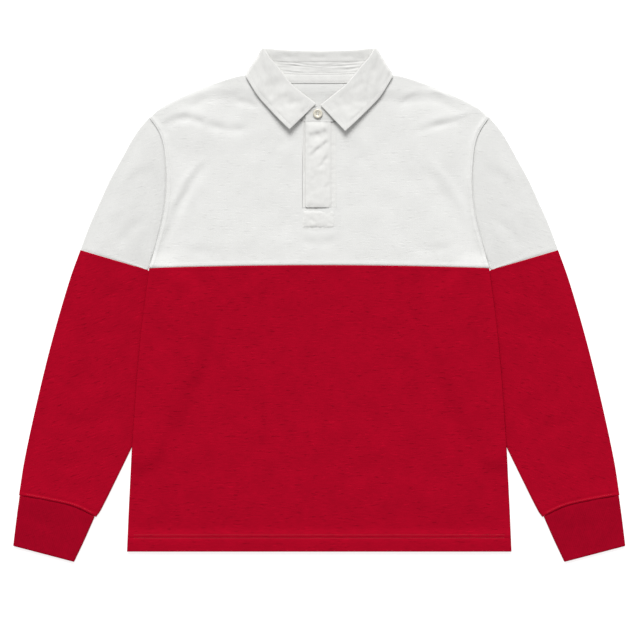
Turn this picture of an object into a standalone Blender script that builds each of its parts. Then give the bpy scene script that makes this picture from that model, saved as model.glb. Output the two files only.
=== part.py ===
"""Long-sleeved rugby shirt in two colour blocks, laid flat on its back.

+X runs to the right sleeve as it is seen, +Y to the collar and +Z up, away from the
surface. The origin lies on that surface, under the middle of the shirt's outline.
All sizes below are in millimetres; MM turns them into Blender's metres.
"""
import math

import bpy
import numpy as np

MM = 0.001

# ---- driving dimensions ----------------------------------------------------
JERSEY = 1.2            # wall of the body and the sleeves
LAYER_PITCH = 2.0       # middle of one jersey layer to the middle of the next
SEAM_GAP = 0.16         # each panel stops this far from the seam line
PLY_GAP = 0.32          # clearance between a piece and the piece it lies on
HEM_Y = -359.3          # hem edge
HEM_DEPTH = 24.0        # turned hem
HEM_PLY = 1.0           # extra wall inside the turned hem
HEM_LIFT = 1.6          # how far the hem holds front and back further apart
BODY_LOFT = 1.7         # air under the middle of the front
SEAM_LOFT = 0.5         # air under the front along its side seams
SLEEVE_LOFT = 2.0       # air inside the middle of a sleeve
WEDGE_LIFT = 3.7        # the body rides this far over the tucked-in sleeve
FALL_LIFT = 2.8         # the back rides this far over the collar's back fall
RIB = 2.2               # doubled rib of the cuffs
RIB_PITCH = 3.0
LEAF = 2.2              # doubled leaf of the collar
STAND = 1.6             # doubled stand of the collar
PLACKET = 1.6           # wall of the placket's over band
TAPE = 0.8
BOX_PLY = 1.0           # stitched box under the placket
SLIT_HALF = 24.8        # half width of the slit in the front
SLIT_FOOT = 141.4       # lower end of the slit
STAND_FOOT = 266.7      # seam between stand and placket
OVER_FREE_X = -20.4     # free edge of the over band
UNDER_END_X = 12.6      # hidden edge of the under band
OVER_STEP_X = 13.6      # from here the over band comes down to the front, over OVER_STEP
OVER_STEP = 3.0
STAND_UNDER_X = 16.5    # hidden tip of the stand's under end
BLOCK_SEAM_MID = 58.3   # colour seam at the centre front
BLOCK_SEAM_SIDE = 54.0  # and at the side seams; also the armpit
ARMPIT_X = 247.6         # where side seam, armhole and colour seam meet
SHOULDER_TIP = (247.8, 274.0)      # top of the armhole
SLEEVE_SEAM_OUT = (348.0, 80.2)    # where a sleeve's colour seam meets its outer fold
FRONT_RIM = 14.0        # the front's wall starts to fall this far inside the side seam
BACK_RIM = 6.4          # and the back's
CUFF_LIFT = 2.0         # air inside a sleeve where it meets its cuff
TAPE_HALF = 60.0        # half length of the neck tape
TAPE_FOOT = 323.0       # lower edge of the neck tape
BOX_HALF = 24.6         # half width of the stitched box
BOX_FOOT = 111.5
BOX_TOP = 138.5
BUTTON_AT = (-2.2, 278.4)
BUTTON_RADIUS = 6.9
BUTTON_HEIGHT = 2.6
BUTTON_SIDES = 20
HOLE_RADIUS = 0.75
HOLE_RING = 1.75        # the button's holes lie this far from its middle

# ---- outline tables: a row for each point, columns as named ------------------
BODY_SIDE = [  # y, half width
    (-359.3, 280.2), (-284, 276.9), (-178, 271.0), (-45, 260.3), (54, ARMPIT_X)]
ARMHOLE = [  # y, distance from the centre line
    (54, ARMPIT_X), (71.4, 242.4), (91.8, 236.4), (116.6, 229.6), (142.8, 224.8), (178.5, 222.2),
    (218.6, 224.7), (237.6, 227.9), (255.1, 234.8), (274, SHOULDER_TIP[0])]
SHOULDER = [  # x, y
    (94, 343.0), (98, 339.0), (102, 336.3), (106, 335.1), (112, 334.6), (124.6, 332.0), (157.4, 321.1),
    (185.1, 309.8), (211.3, 297.9), (232.5, 286.0), SHOULDER_TIP]
NECK_FRONT = [  # x, y
    (24.8, 268.4), (28.5, 271), (55, 296), (76.5, 320), (94, 343.0)]
NECK_BACK = [  # x, y
    (0, 338.0), (30, 338.4), (60, 340.0), (94, 343.0)]
SLEEVE_OUT = [  # y, x of the outer fold
    (-276.5, 438.0), (-225.9, 430.0), (-138.5, 411.0), (-51, 389.2), (36.4, 363.6),
    (80.2, 347.8), (116.6, 334.5), (153, 318.5), (182.2, 305.3), (211.3, 289.3),
    (240.5, 273.3), (258, 261.6), (274, SHOULDER_TIP[0])]
SLEEVE_IN = [  # y, x of the underarm fold, tucked under the body down to y = -208
    (-308.4, 325.0), (-298.8, 318.2), (-255, 296.2), (-208, 273.3), (-150, 246), (-100, 224),
    (-50, 208), (-15, 206), (12, 214), (30, 228), (44, 242), (51.2, 250)]
UNDERARM = (250.0, 51.2)           # where a sleeve's colour seam meets its underarm fold
CUFF_SEAM = [  # x, y
    (325.0, -308.4), (356.4, -293.4), (390.6, -285.1), (437.5, -276.5)]
CUFF_HEM = [  # x, y
    (357.1, -374.3), (446.0, -351.0)]

# The largest soft folds of the front: (x, y) of three points along each, half width, depth.
FRONT_FOLDS = [
    ((-198, 291), (-152, 307), (-100, 294), 9, 1.3),
    ((-215, 272), (-184, 271), (-152, 255), 9, 1.3),
    ((-172, 190), (-194, 158), (-208, 129), 11, 1.1),
    ((96, 294), (148, 308), (196, 294), 9, 1.3),
    ((132, 249), (186, 262), (224, 273), 10, 1.3),
]
# The largest soft folds of the sleeves' upper side, as above, for the right sleeve.
SLEEVE_FOLDS = [
    ((262, 118), (288, 100), (306, 66), 11, 1.2),
    ((268, 20), (306, 14), (338, -18), 13, 1.2),
    ((300, -150), (346, -166), (384, -150), 13, 1.0),
]

# Collar, right half. A row for each station from the front end (0) to the side (1).
# N: neck seam, F: fold, E: outer edge of the leaf; z_in and z_out: height of the leaf's
# inner and outer layer at the fold; over: extra height of the right stand over the left one.
COLLAR_FRONT = [  # s, Nx, Ny, Fx, Fy, Ex, Ey, z_in_right, z_in_left, z_out, over
    (0.00, 20.5, 266.9, 1.5, 290.8, 37.8, 252.4, 7.3, 5.0, 10.1, 1.95),
    (0.12, 28.5, 271.0, 11.0, 298.5, 46.2, 260.2, 7.1, 5.4, 10.0, 0.35),
    (0.28, 38.6, 279.8, 20.5, 306.2, 55.8, 269.2, 7.0, 6.2, 9.9, 0.0),
    (0.52, 55.0, 296.0, 39.8, 322.1, 72.4, 285.6, 7.0, 7.0, 9.8, 0.0),
    (0.80, 76.5, 320.0, 62.6, 349.6, 89.8, 304.4, 7.0, 7.0, 9.8, 0.0),
    (1.00, 89.5, 337.5, 77.6, 367.8, 104.4, 327.8, 7.0, 7.0, 9.8, 0.0),
]
COLLAR_BACK = [  # x as a share of the half width, y of F, y of E, height of the inner layer at F
    (0.00, 368.0, 325.6, 6.0),
    (0.35, 369.0, 326.2, 5.8),
    (0.70, 370.4, 328.8, 5.0),
    (0.92, 372.6, 331.6, 4.2),
]
COLLAR_CORNER = (82.6, 375.4)      # where the fold turns round to the back
COLLAR_SIDE_END = (108.2, 335.1)   # where the leaf's edge turns round to the back
EDGE_DROP = 5.4                    # the edge reaches this much lower in front of that turn
BACK_EDGE_DROP = 2.6               # and behind it
NECK_POINT = (94.0, 343.0)         # top of the shoulder seam
LEFT_SHIFT = (-5.4, 2.6)           # the left leaf's front end lies this much off the mirrored right one
LEAF_FALL_Z = LEAF / 2             # the back fall lies on the surface
LEAF_FLOAT = 0.9                   # the leaf's outer edge stands this far off the front

# ---- colours ---------------------------------------------------------------
HEATHER_WHITE = (0.80, 0.80, 0.77)
TWILL_WHITE = (0.82, 0.82, 0.80)
RED = (0.40, 0.004, 0.018)
RIB_RED = (0.34, 0.003, 0.015)
CREAM = (0.83, 0.78, 0.66)


# ---- small helpers -----------------------------------------------------------
def ease(t):
    """Smooth step from 0 to 1."""
    t = min(max(t, 0.0), 1.0)
    return t * t * (3 - 2 * t)


def curve(table, at, column=1):
    """Smooth reading of a table's column at a value of its first column."""
    keys = [row[0] for row in table]
    values = [row[column] for row in table]
    at = min(max(at, keys[0]), keys[-1])
    last = len(keys) - 2
    k = min(max(int(np.searchsorted(keys, at)) - 1, 0), last)

    def slope(i):
        low, high = max(i - 1, 0), min(i + 1, len(keys) - 1)
        return (values[high] - values[low]) / (keys[high] - keys[low])

    span = keys[k + 1] - keys[k]
    t = (at - keys[k]) / span
    return ((2 * t**3 - 3 * t**2 + 1) * values[k] + (t**3 - 2 * t**2 + t) * span * slope(k)
            + (3 * t**2 - 2 * t**3) * values[k + 1] + (t**3 - t**2) * span * slope(k + 1))


def along(points, count=60):
    """Turns a chain of (x, y) points into a function of the share of its length."""
    points = np.array(points, float)
    lengths = np.concatenate([[0], np.cumsum(np.linalg.norm(np.diff(points, axis=0), axis=1))])
    table = [(lengths[i] / lengths[-1], points[i][0], points[i][1]) for i in range(len(points))]
    fine = np.array([[curve(table, t), curve(table, t, 2)] for t in np.linspace(0, 1, count)])

    def place(t):
        spot = min(max(t, 0.0), 1.0) * (count - 1)
        low = min(int(spot), count - 2)
        return fine[low] + (fine[low + 1] - fine[low]) * (spot - low)

    return place


def patch(left, right, bottom, top):
    """Surface between four edges; u runs from left to right and v from bottom to top."""
    def place(u, v):
        corners = ((1 - u) * (1 - v) * left(0) + u * (1 - v) * right(0)
                   + (1 - u) * v * left(1) + u * v * right(1))
        return ((1 - u) * left(v) + u * right(v) + (1 - v) * bottom(u) + v * top(u) - corners)

    return place


def unit(vector):
    return vector / np.linalg.norm(vector)


def chain_distance(x, y, chain):
    """Distance from a point to a chain of three points, and how far along it lies (0 to 1)."""
    best = (1e9, 0.0)
    for k in range(2):
        start, end = np.array(chain[k]), np.array(chain[k + 1])
        run = end - start
        t = float(np.clip(np.dot((x, y) - start, run) / np.dot(run, run), 0, 1))
        gap = float(np.hypot(*(np.array((x, y)) - start - t * run)))
        best = min(best, (gap, (k + t) / 2))
    return best


def fold_depth(x, y, folds):
    """How far the soft folds sink the cloth here."""
    sunk = 0.0
    for first, middle, last, half_width, depth in folds:
        gap, share = chain_distance(x, y, (first, middle, last))
        sunk += depth * math.exp(-(gap / half_width) ** 2) * (0.45 + 0.55 * math.sin(math.pi * share))
    return sunk


# ---- heights of the layers -----------------------------------------------------
def body_edge(y):
    return curve(BODY_SIDE, y) if y < BLOCK_SEAM_SIDE else curve(ARMHOLE, y)


def shoulder_y(x):
    return curve(SHOULDER, x)


def back_height(x, y):
    """Middle of the back panels: flat on the surface but for what lies under them."""
    x = abs(x)
    over_sleeve = (ease((x - curve(SLEEVE_IN, y) + 62) / 32) * ease((78 - y) / 22)
                   * ease((y + 250) / 30))
    over_fall = ease((y - 296) / 20) * ease((165 - x) / 50)
    return JERSEY / 2 + WEDGE_LIFT * over_sleeve + FALL_LIFT * over_fall


def front_height(x, y):
    """Middle of the front panels, over the back and the air between them."""
    from_side = max(body_edge(y) - abs(x), 0.0)
    from_shoulder = max(shoulder_y(abs(x)) - y, 0.0)
    loft = (SEAM_LOFT + BODY_LOFT * ease(from_side / 60)) * ease(from_shoulder / 60)
    loft *= 0.4 + 0.6 * ease((y - HEM_Y - HEM_DEPTH) / 60)
    loft += HEM_LIFT * ease((HEM_Y + HEM_DEPTH + 10 - y) / 9)
    sunk = min(fold_depth(x, y, FRONT_FOLDS), 0.8 * loft)
    return back_height(x, y) + LAYER_PITCH + loft - sunk


def sleeve_height(x, y):
    """Middle of a sleeve's upper layer; its under layer lies on the surface."""
    x = abs(x)
    off_body = x - body_edge(y)
    loft = SEAM_LOFT * ease((y - BLOCK_SEAM_SIDE) / 25) + SLEEVE_LOFT * ease((off_body - 4) / 42)
    loft *= ease((curve(SLEEVE_OUT, y) - x) / 30)
    near_cuff = ease((-235 - y) / 45)
    loft = max(loft - fold_depth(x, y, SLEEVE_FOLDS), 0.0) * (1 - near_cuff) + CUFF_LIFT * near_cuff
    return JERSEY / 2 + LAYER_PITCH + loft


# ---- solids --------------------------------------------------------------------
def material(name, colour, roughness=0.85):
    mat = bpy.data.materials.get(name) or bpy.data.materials.new(name)
    mat.use_nodes = True
    shader = mat.node_tree.nodes["Principled BSDF"]
    shader.inputs["Base Color"].default_value = (*colour, 1.0)
    shader.inputs["Roughness"].default_value = roughness
    shader.inputs["Metallic"].default_value = 0.0
    return mat


def add_object(name, points, faces, mat):
    """Closed mesh from points in millimetres, with its faces turned outwards."""
    points = np.array(points, float)
    volume = 0.0
    for face in faces:
        for k in range(1, len(face) - 1):
            a, b, c = points[face[0]], points[face[k]], points[face[k + 1]]
            volume += float(np.dot(a, np.cross(b, c)))
    if volume < 0:
        faces = [tuple(reversed(face)) for face in faces]
    mesh = bpy.data.meshes.new(name)
    mesh.from_pydata([tuple(p * MM) for p in points], [], faces)
    mesh.validate()
    mesh.materials.append(mat)
    mesh.shade_smooth()
    mesh.set_sharp_from_angle(angle=math.radians(50))
    obj = bpy.data.objects.new(name, mesh)
    bpy.context.scene.collection.objects.link(obj)
    return obj


def grid_normals(grid, ring):
    """Unit normals of a grid of points; with ring, its second direction closes on itself."""
    along_rows = np.gradient(grid, axis=0)
    if ring:
        along_columns = (np.roll(grid, -1, axis=1) - np.roll(grid, 1, axis=1)) / 2
    else:
        along_columns = np.gradient(grid, axis=1)
    normals = np.cross(along_columns, along_rows)
    return normals / np.linalg.norm(normals, axis=2, keepdims=True)


def square_to_seam(normals, seam_runs):
    """Normals along a seam, turned so that the wall's end stands straight over the seam line."""
    squared = []
    for normal, run in zip(normals, seam_runs):
        across = np.array((-run[1], run[0], 0.0))
        squared.append(unit(normal - np.dot(normal, across) * across))
    return np.array(squared)


def wall(name, grid, mat, outer, inner, cells=None, ring=False, normals=None):
    """Closed cloth wall about a grid of points. outer and inner are the distances to its two
    faces, cells says which of the grid's cells hold cloth, ring closes it round on itself."""
    grid = np.array(grid, float)
    rows, columns = grid.shape[:2]
    if normals is None:
        normals = grid_normals(grid, ring)
    outer = np.broadcast_to(np.array(outer, float), (rows, columns))[..., None]
    inner = np.broadcast_to(np.array(inner, float), (rows, columns))[..., None]
    points = np.concatenate([(grid + normals * outer).reshape(-1, 3),
                             (grid - normals * inner).reshape(-1, 3)])
    below = rows * columns
    quads = []
    for i in range(rows - 1):
        for j in range(columns if ring else columns - 1):
            if cells is None or cells(i, j):
                k = (j + 1) % columns
                low, high = i * columns, (i + 1) * columns
                quads.append((low + j, low + k, high + k, high + j))
    edges = {}
    for quad in quads:
        for k in range(4):
            edge = (quad[k], quad[(k + 1) % 4])
            if (edge[1], edge[0]) in edges:
                del edges[(edge[1], edge[0])]
            else:
                edges[edge] = True
    faces = list(quads)
    faces += [tuple(p + below for p in reversed(quad)) for quad in quads]
    faces += [(a, a + below, b + below, b) for a, b in edges]
    used = sorted({p for face in faces for p in face})
    renumber = {p: k for k, p in enumerate(used)}
    faces = [tuple(renumber[p] for p in face) for face in faces]
    return add_object(name, points[used], faces, mat)


# ---- body ------------------------------------------------------------------------
SHOULDER_SHARES = [0, 0.08, 0.17, 0.27, 0.38, 0.50, 0.62, 0.75, 0.87, 0.96, 1.0]
CURL = (0.0, math.pi / 4, math.pi / 2)    # points round a folded edge, from its outermost one
FOLD_MARK = 10.0                          # added to the angle that such a point keeps until it is lifted


def curl_distance(height, angle):
    """How far inside the fold's outline the middle of the wall lies."""
    return JERSEY / 2 + height * (1 - math.cos(angle))


def curl_height(x, y, angle, side):
    """Height of a folded edge; side is +1 for the front and -1 for the back."""
    low, high = back_height(x, y), front_height(x, y)
    half = (high - low) / 2 - SEAM_GAP
    return (low + high) / 2 + side * (SEAM_GAP + half * math.sin(angle))


def panel_height(side):
    return front_height if side > 0 else back_height


def colour_seam_y(x):
    return BLOCK_SEAM_MID + (BLOCK_SEAM_SIDE - BLOCK_SEAM_MID) * (abs(x) / ARMPIT_X) ** 2


def lower_panel(name, side, mat):
    """Lower block of the front (side +1) or the back (side -1), from colour seam to hem."""
    rim = FRONT_RIM if side > 0 else BACK_RIM
    rows_y = [HEM_Y + 0.2, HEM_Y + 8, HEM_Y + 16, HEM_Y + HEM_DEPTH - 0.6, HEM_Y + HEM_DEPTH + 0.6,
              HEM_Y + HEM_DEPTH + 12]
    rows_y += list(np.linspace(HEM_Y + 60, 20, 9)) + [38]
    grid, thick = [], []
    for y_side in rows_y + [None]:
        row = []
        at_seam = y_side is None
        level = BLOCK_SEAM_SIDE - SEAM_GAP if at_seam else y_side
        width = body_edge(level)
        half_gap = (front_height(width, level) - back_height(width, level)) / 2 - SEAM_GAP
        stations = [("curl", angle, width - curl_distance(half_gap, angle)) for angle in CURL]
        stations += [("flat", 0, width - 5.5)]
        stations += [("flat", 0, x) for x in np.linspace(width - rim, 0, 8)]
        for kind, angle, x in stations:
            y = colour_seam_y(x) - SEAM_GAP if at_seam else level
            z = curl_height(width, level, angle, side) if kind == "curl" else panel_height(side)(x, y)
            row.append((x, y, z))
        grid.append([(-x, y, z) for x, y, z in row[:-1]] + row[::-1])
        in_hem = y_side is not None and y_side < HEM_Y + HEM_DEPTH
        thick.append(HEM_PLY if in_hem else 0.0)
    # the hem's second ply lies inside the shirt
    ply = JERSEY / 2 + np.array(thick)[:, None]
    single = JERSEY / 2
    outer, inner = (single, ply) if side > 0 else (ply, single)
    normals = upward_normals(grid)
    for column in (0, 1, -2, -1):
        normals[:, column] = side_fold_normal(column, side)
    return wall(name, grid, mat, outer, inner, normals=normals)


def upward_normals(grid):
    normals = grid_normals(np.array(grid, float), False)
    return normals * np.sign(np.mean(normals[..., 2]))


def side_fold_normal(column, side):
    """Normal of a side fold's outermost column (0 or -1) and of the next one; side is +1 for
    the front and -1 for the back, whose normals point into the shirt."""
    outward = -1.0 if column in (0, 1) else 1.0
    angle = CURL[0] if column in (0, -1) else CURL[1]
    return np.array((side * outward * math.cos(angle), 0.0, math.sin(angle)))


def upper_grid(side):
    """Plan and rows of the right half of an upper block: u runs from its inner edge to the
    armhole, v from the colour seam to the shoulder."""
    armhole_y = np.linspace(BLOCK_SEAM_SIDE, SHOULDER_TIP[1], 40)
    armhole = along([(curve(ARMHOLE, y) - SEAM_GAP, y) for y in armhole_y])
    shoulder = [(x, shoulder_y(x)) for x in np.linspace(NECK_POINT[0], ARMPIT_X, 30)]
    if side > 0:
        slit_y = np.linspace(colour_seam_y(SLIT_HALF) + SEAM_GAP, STAND_FOOT - 6, 12)
        neck = [(x + 3 * SEAM_GAP, y - 3 * SEAM_GAP) for x, y in NECK_FRONT[1:-1]]
        inner_edge = along([(SLIT_HALF, y) for y in slit_y] + [(SLIT_HALF, STAND_FOOT + 0.7)]
                           + neck + [NECK_POINT], 240)
        top = along(shoulder)
        start_x = SLIT_HALF
        rows_v = slit_rows(inner_edge)
    else:
        inner_edge = along([(0, y) for y in (58, 120, 180, 240, 300, 337.7)])
        top = along([(x, y - SEAM_GAP) for x, y in NECK_BACK[:-1]] + shoulder, 200)
        start_x = 0.0
        rows_v = [0, 0.04, 0.1, 0.18, 0.27, 0.36, 0.46, 0.56, 0.65, 0.73, 0.79, 0.84, 0.885, 0.93, 0.968, 1]
    seam_x = np.linspace(start_x, ARMPIT_X - SEAM_GAP, 12)
    bottom = along([(x, colour_seam_y(x) + SEAM_GAP) for x in seam_x])
    return patch(inner_edge, armhole, bottom, top), rows_v


def slit_rows(edge):
    """Rows of the front's upper block, with one at the slit's foot and more near the neck."""
    shares = np.linspace(0, 1, 400)
    heights = np.array([edge(t)[1] for t in shares])
    wanted = [58, 74, 92, 115, SLIT_FOOT, 162, 182, 202, 220, 238, 254, STAND_FOOT + 0.7,
              284, 300, 315, 329, NECK_POINT[1]]
    return [float(np.interp(y, heights, shares)) for y in wanted]


def front_upper(mat):
    place, rows_v = upper_grid(+1)
    columns = len(SHOULDER_SHARES)
    right = [[np.array((*place(u, v), 0.0)) for u in SHOULDER_SHARES] for v in rows_v[:-1]]
    right += shoulder_rows(place, SHOULDER_SHARES)
    grid = []
    for half in right:
        centre = [np.array((x, half[0][1], 0.0)) for x in (-8.0, 8.0)]
        grid.append([np.array((-p[0], p[1], p[2])) for p in half[::-1]] + centre + half)
    grid = np.array(grid)
    lift_points(grid, front_height, +1)
    slit_row = int(np.argmin([abs(row[0][1] - SLIT_FOOT) for row in right]))
    slit_columns = range(columns - 1, columns + 2)
    normals = upward_normals(grid)
    shoulder_normals(normals, grid, +1)
    upright_edges(normals)
    normals[slit_row:, columns - 1] = normals[slit_row:, columns - 2]
    normals[slit_row:, columns + 2] = normals[slit_row:, columns + 3]
    return wall("front_upper", grid, mat, JERSEY / 2, JERSEY / 2,
                cells=lambda i, j: i < slit_row or j not in slit_columns, normals=normals)


def shoulder_rows(place, columns_u):
    """Three rows round the shoulder fold, the outermost last; their heights come later."""
    rows = []
    for angle in CURL[::-1]:
        row = []
        for u in columns_u:
            edge, inside = place(u, 1.0), place(u, 0.97)
            direction = unit(inside - edge)
            half = LAYER_PITCH / 2 - SEAM_GAP
            spot = edge + direction * curl_distance(half, angle)
            row.append(np.array((*spot, angle + FOLD_MARK)))
        rows.append(row)
    return rows


def lift_points(grid, height, side):
    """Gives each point of a panel its height; a mark says that it lies on a folded edge."""
    for i in range(grid.shape[0]):
        for j in range(grid.shape[1]):
            x, y, mark = grid[i, j]
            if mark >= FOLD_MARK:
                grid[i, j, 2] = curl_height(x, y, mark - FOLD_MARK, side)
            else:
                grid[i, j, 2] = height(x, y)


def upright_edges(normals):
    """The armhole edges stand straight up, so that they keep their gap to the sleeves."""
    normals[:-2, 0] = (0, 0, 1)
    normals[:-2, -1] = (0, 0, 1)
    normals[0, :] = (0, 0, 1)


def shoulder_normals(normals, grid, side):
    """Normals of the shoulder fold's last two rows: outwards, and half way up."""
    for index, angle in ((-1, CURL[0]), (-2, CURL[1])):
        for j in range(grid.shape[1]):
            out = unit(grid[-1, j, :2] - grid[-3, j, :2])
            level, rise = math.cos(angle), math.sin(angle)
            normals[index, j] = (out[0] * level * side, out[1] * level * side, rise)


def neck_part(place):
    """The part of the back's top edge, from the centre, that is the neckline."""
    shares = np.linspace(0, 1, 600)
    return float(np.interp(NECK_POINT[0], [place(u, 1.0)[0] for u in shares], shares))


def back_upper(mat):
    place, rows_v = upper_grid(-1)
    neck_share = neck_part(place)
    columns_u = [neck_share * t for t in (0, 0.25, 0.5, 0.75, 0.95)]
    columns_u += [neck_share + (1 - neck_share) * t for t in SHOULDER_SHARES]
    right = [[np.array((*place(u, v), 0.0)) for u in columns_u] for v in rows_v[:-1]]
    # the neckline isn't folded: the panel just ends at its seam
    last_rows = shoulder_rows(place, columns_u)
    for row, inset in zip(last_rows, (2.6, 1.2, 0.0)):
        for k, u in enumerate(columns_u):
            if u < neck_share - 0.002:
                x, y = place(u, 1.0)
                row[k] = np.array((x, y - inset, 0.0))
    right += last_rows
    grid = np.array([[np.array((-p[0], p[1], p[2])) for p in half[:0:-1]] + half for half in right])
    on_fold = grid[..., 2] >= FOLD_MARK
    lift_points(grid, back_height, -1)
    normals = upward_normals(grid)
    folded = normals.copy()
    shoulder_normals(folded, grid, -1)
    normals[on_fold] = folded[on_fold]
    upright_edges(normals)
    return wall("back_upper", grid, mat, JERSEY / 2, JERSEY / 2, normals=normals)


# ---- sleeves and cuffs -------------------------------------------------------------
def mirrored(grid, side):
    grid = np.array(grid, float)
    if side < 0:
        grid[..., 0] *= -1
    return grid


def slant(place, u, v):
    """How much longer a row of the patch is than the straight way across its edge at u = 0 or 1."""
    inward = unit(place(abs(u - 0.02), v) - place(u, v))
    edge = unit(place(u, min(v + 0.02, 1)) - place(u, max(v - 0.02, 0)))
    return 1 / max(abs(inward[0] * edge[1] - inward[1] * edge[0]), 0.45)


def tube(name, place, stations, side, mat, top_height, low, half, across=9, fanned=False):
    """Flattened tube: for each station round its fold, over its upper layer, round the other
    fold and back along the under layer. place(u, v) gives the plan, low is the under layer's
    middle and half is half the wall; fanned says that the stations fan out from a corner."""
    rings, seams = [], []
    for v in stations:
        first, last = place(0.0, v), place(1.0, v)
        width = float(np.linalg.norm(last - first))
        halves = [(top_height(*end) - low) / 2 for end in (first, last)]
        middles = [(top_height(*end) + low) / 2 for end in (first, last)]
        skew = [slant(place, u, v) for u in (0.0, 1.0)]
        inset = [(skew[k] * (half + halves[k] * (1 - math.cos(CURL[1]))),
                  skew[k] * (half + halves[k])) for k in (0, 1)]
        flat = np.linspace(inset[0][1] + 5, width - inset[1][1] - 5, across)
        sway = math.sin(CURL[1])
        upper = [(half * skew[0], middles[0]), (inset[0][0], middles[0] + halves[0] * sway)]
        upper += [(d, None) for d in (inset[0][1], *flat, width - inset[1][1])]
        upper += [(width - inset[1][0], middles[1] + halves[1] * sway)]
        under = [(width - half * skew[1], middles[1]),
                 (width - inset[1][0], middles[1] - halves[1] * sway)]
        under += [(d, low) for d in (width - inset[1][1], *flat[::-2], inset[0][1])]
        under += [(inset[0][0], middles[0] - halves[0] * sway)]
        ring = []
        for distance, z in upper + under:
            x, y = place(distance / width, v)
            ring.append((x, y, top_height(x, y) if z is None else z))
        rings.append(ring)
        shares = [distance / width for distance, _ in upper + under]
        seams.append([unit(place(min(u + 0.02, 1), v) - place(max(u - 0.02, 0), v)) for u in shares])
    normals = grid_normals(np.array(rings), True)
    squared = range(len(stations)) if fanned else (0, -1)
    for k in squared:
        normals[k] = square_to_seam(normals[k], seams[k])
    return wall(name, mirrored(rings, side), mat, half, half, ring=True, normals=mirrored(normals, side))


def block_seam(gap):
    """Colour seam of a sleeve, from the underarm fold to the outer fold."""
    return along([(x, y + gap) for x, y in (UNDERARM, (280, 60.0), (315, 70.4), SLEEVE_SEAM_OUT)])


def sleeve_upper(side, name, mat):
    low_y, high_y = BLOCK_SEAM_SIDE + 0.4, SHOULDER_TIP[1] - 0.4
    armhole = along([(curve(ARMHOLE, y) + SEAM_GAP, y) for y in np.linspace(low_y, high_y, 40)])
    fold_y = np.linspace(high_y, SLEEVE_SEAM_OUT[1] + SEAM_GAP, 40)
    outer_fold = along([(curve(SLEEVE_OUT, y), y) for y in fold_y])
    underarm = along([(ARMPIT_X + SEAM_GAP, low_y), (UNDERARM[0], UNDERARM[1] + SEAM_GAP)])
    # u runs from the underarm to the outer fold, v from the armhole to the colour seam
    place = patch(underarm, outer_fold, armhole, block_seam(SEAM_GAP))
    stations = [0.0, 0.08, 0.2, 0.34, 0.5, 0.66, 0.83, 1.0]
    return tube(name, place, stations, side, mat, sleeve_height, JERSEY / 2, JERSEY / 2,
                across=13, fanned=True)


def sleeve_lower(side, name, mat):
    outer_y = np.linspace(SLEEVE_SEAM_OUT[1] - SEAM_GAP, CUFF_SEAM[-1][1], 50)
    under_y = np.linspace(UNDERARM[1] - SEAM_GAP, CUFF_SEAM[0][1] + 0.4, 50)
    outer_fold = along([(curve(SLEEVE_OUT, y), y) for y in outer_y])
    underarm = along([(curve(SLEEVE_IN, y), y) for y in under_y])
    cuff_seam = along([(x, y + SEAM_GAP) for x, y in CUFF_SEAM])
    place = patch(underarm, outer_fold, block_seam(-SEAM_GAP), cuff_seam)
    stations = [0.0, 0.05, 0.11, 0.19, 0.28, 0.38, 0.48, 0.58, 0.68, 0.78, 0.87, 0.94, 1.0]
    return tube(name, place, stations, side, mat, sleeve_height, JERSEY / 2, JERSEY / 2)


def cuff(side, name, mat):
    top_out, top_in = (436.6, -277.4), (326.6, -309.0)
    outer_fold = along([top_out, (440.6, -307), CUFF_HEM[1]])
    inner_fold = along([top_in, (342.0, -342.5), CUFF_HEM[0]])
    seam = along([top_in] + [(x, y - SEAM_GAP) for x, y in CUFF_SEAM[1:-1]] + [top_out])
    place = patch(inner_fold, outer_fold, seam, along(CUFF_HEM))

    def height(x, y):
        return RIB / 2 + RIB_PITCH

    return tube(name, place, [0.0, 0.1, 0.4, 0.7, 0.93, 1.0], side, mat, height, RIB / 2, RIB / 2)


# ---- placket -------------------------------------------------------------------------
def band(name, xs, ys, height, mat, half, round_foot=0.0):
    """Flat band between rows ys and columns xs, on a height field; half is half its wall."""
    grid = []
    for y in ys:
        row = []
        for x in xs:
            # a rounded corner at the free edge's foot
            near = max(xs[0] + round_foot - x, 0.0)
            up = round_foot - math.sqrt(max(round_foot**2 - near**2, 0.0))
            y_bent = y + up * max(1 - (y - ys[0]) / 10, 0)
            row.append((x, y_bent, height(x, y_bent)))
        grid.append(row)
    return wall(name, grid, mat, half, half)


def placket_under(mat):
    xs = np.linspace(-SLIT_HALF + 0.32, UNDER_END_X, 6)
    ys = np.linspace(SLIT_FOOT + 0.3, STAND_FOOT - SEAM_GAP, 10)
    return band("placket_under", xs, ys, front_height, mat, JERSEY / 2)


def over_height(x, y):
    """The over band lies on the under band and comes down to the front at its sewn edge."""
    on_under = JERSEY / 2 + PLY_GAP + PLACKET / 2
    return front_height(x, y) + on_under * (1 - ease((x - OVER_STEP_X) / OVER_STEP))


def placket_over(mat):
    xs = [OVER_FREE_X, -19.2, -16.5, -10, -2, 6, 11, 13.2, 14.4, 15.6, 16.8, 20.6, SLIT_HALF - 0.32]
    ys = [SLIT_FOOT + 0.3, 145, 152, 166, 180, 194, 208, 222, 238, 254, STAND_FOOT - SEAM_GAP]
    return band("placket_over", xs, ys, over_height, mat, PLACKET / 2, round_foot=3.0)


def placket_box(mat):
    def height(x, y):
        return front_height(x, y) + JERSEY / 2 + PLY_GAP + BOX_PLY / 2

    xs = np.linspace(-BOX_HALF, BOX_HALF, 7)
    ys = np.linspace(BOX_FOOT, BOX_TOP, 5)
    return band("placket_box", xs, ys, height, mat, BOX_PLY / 2)


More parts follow.
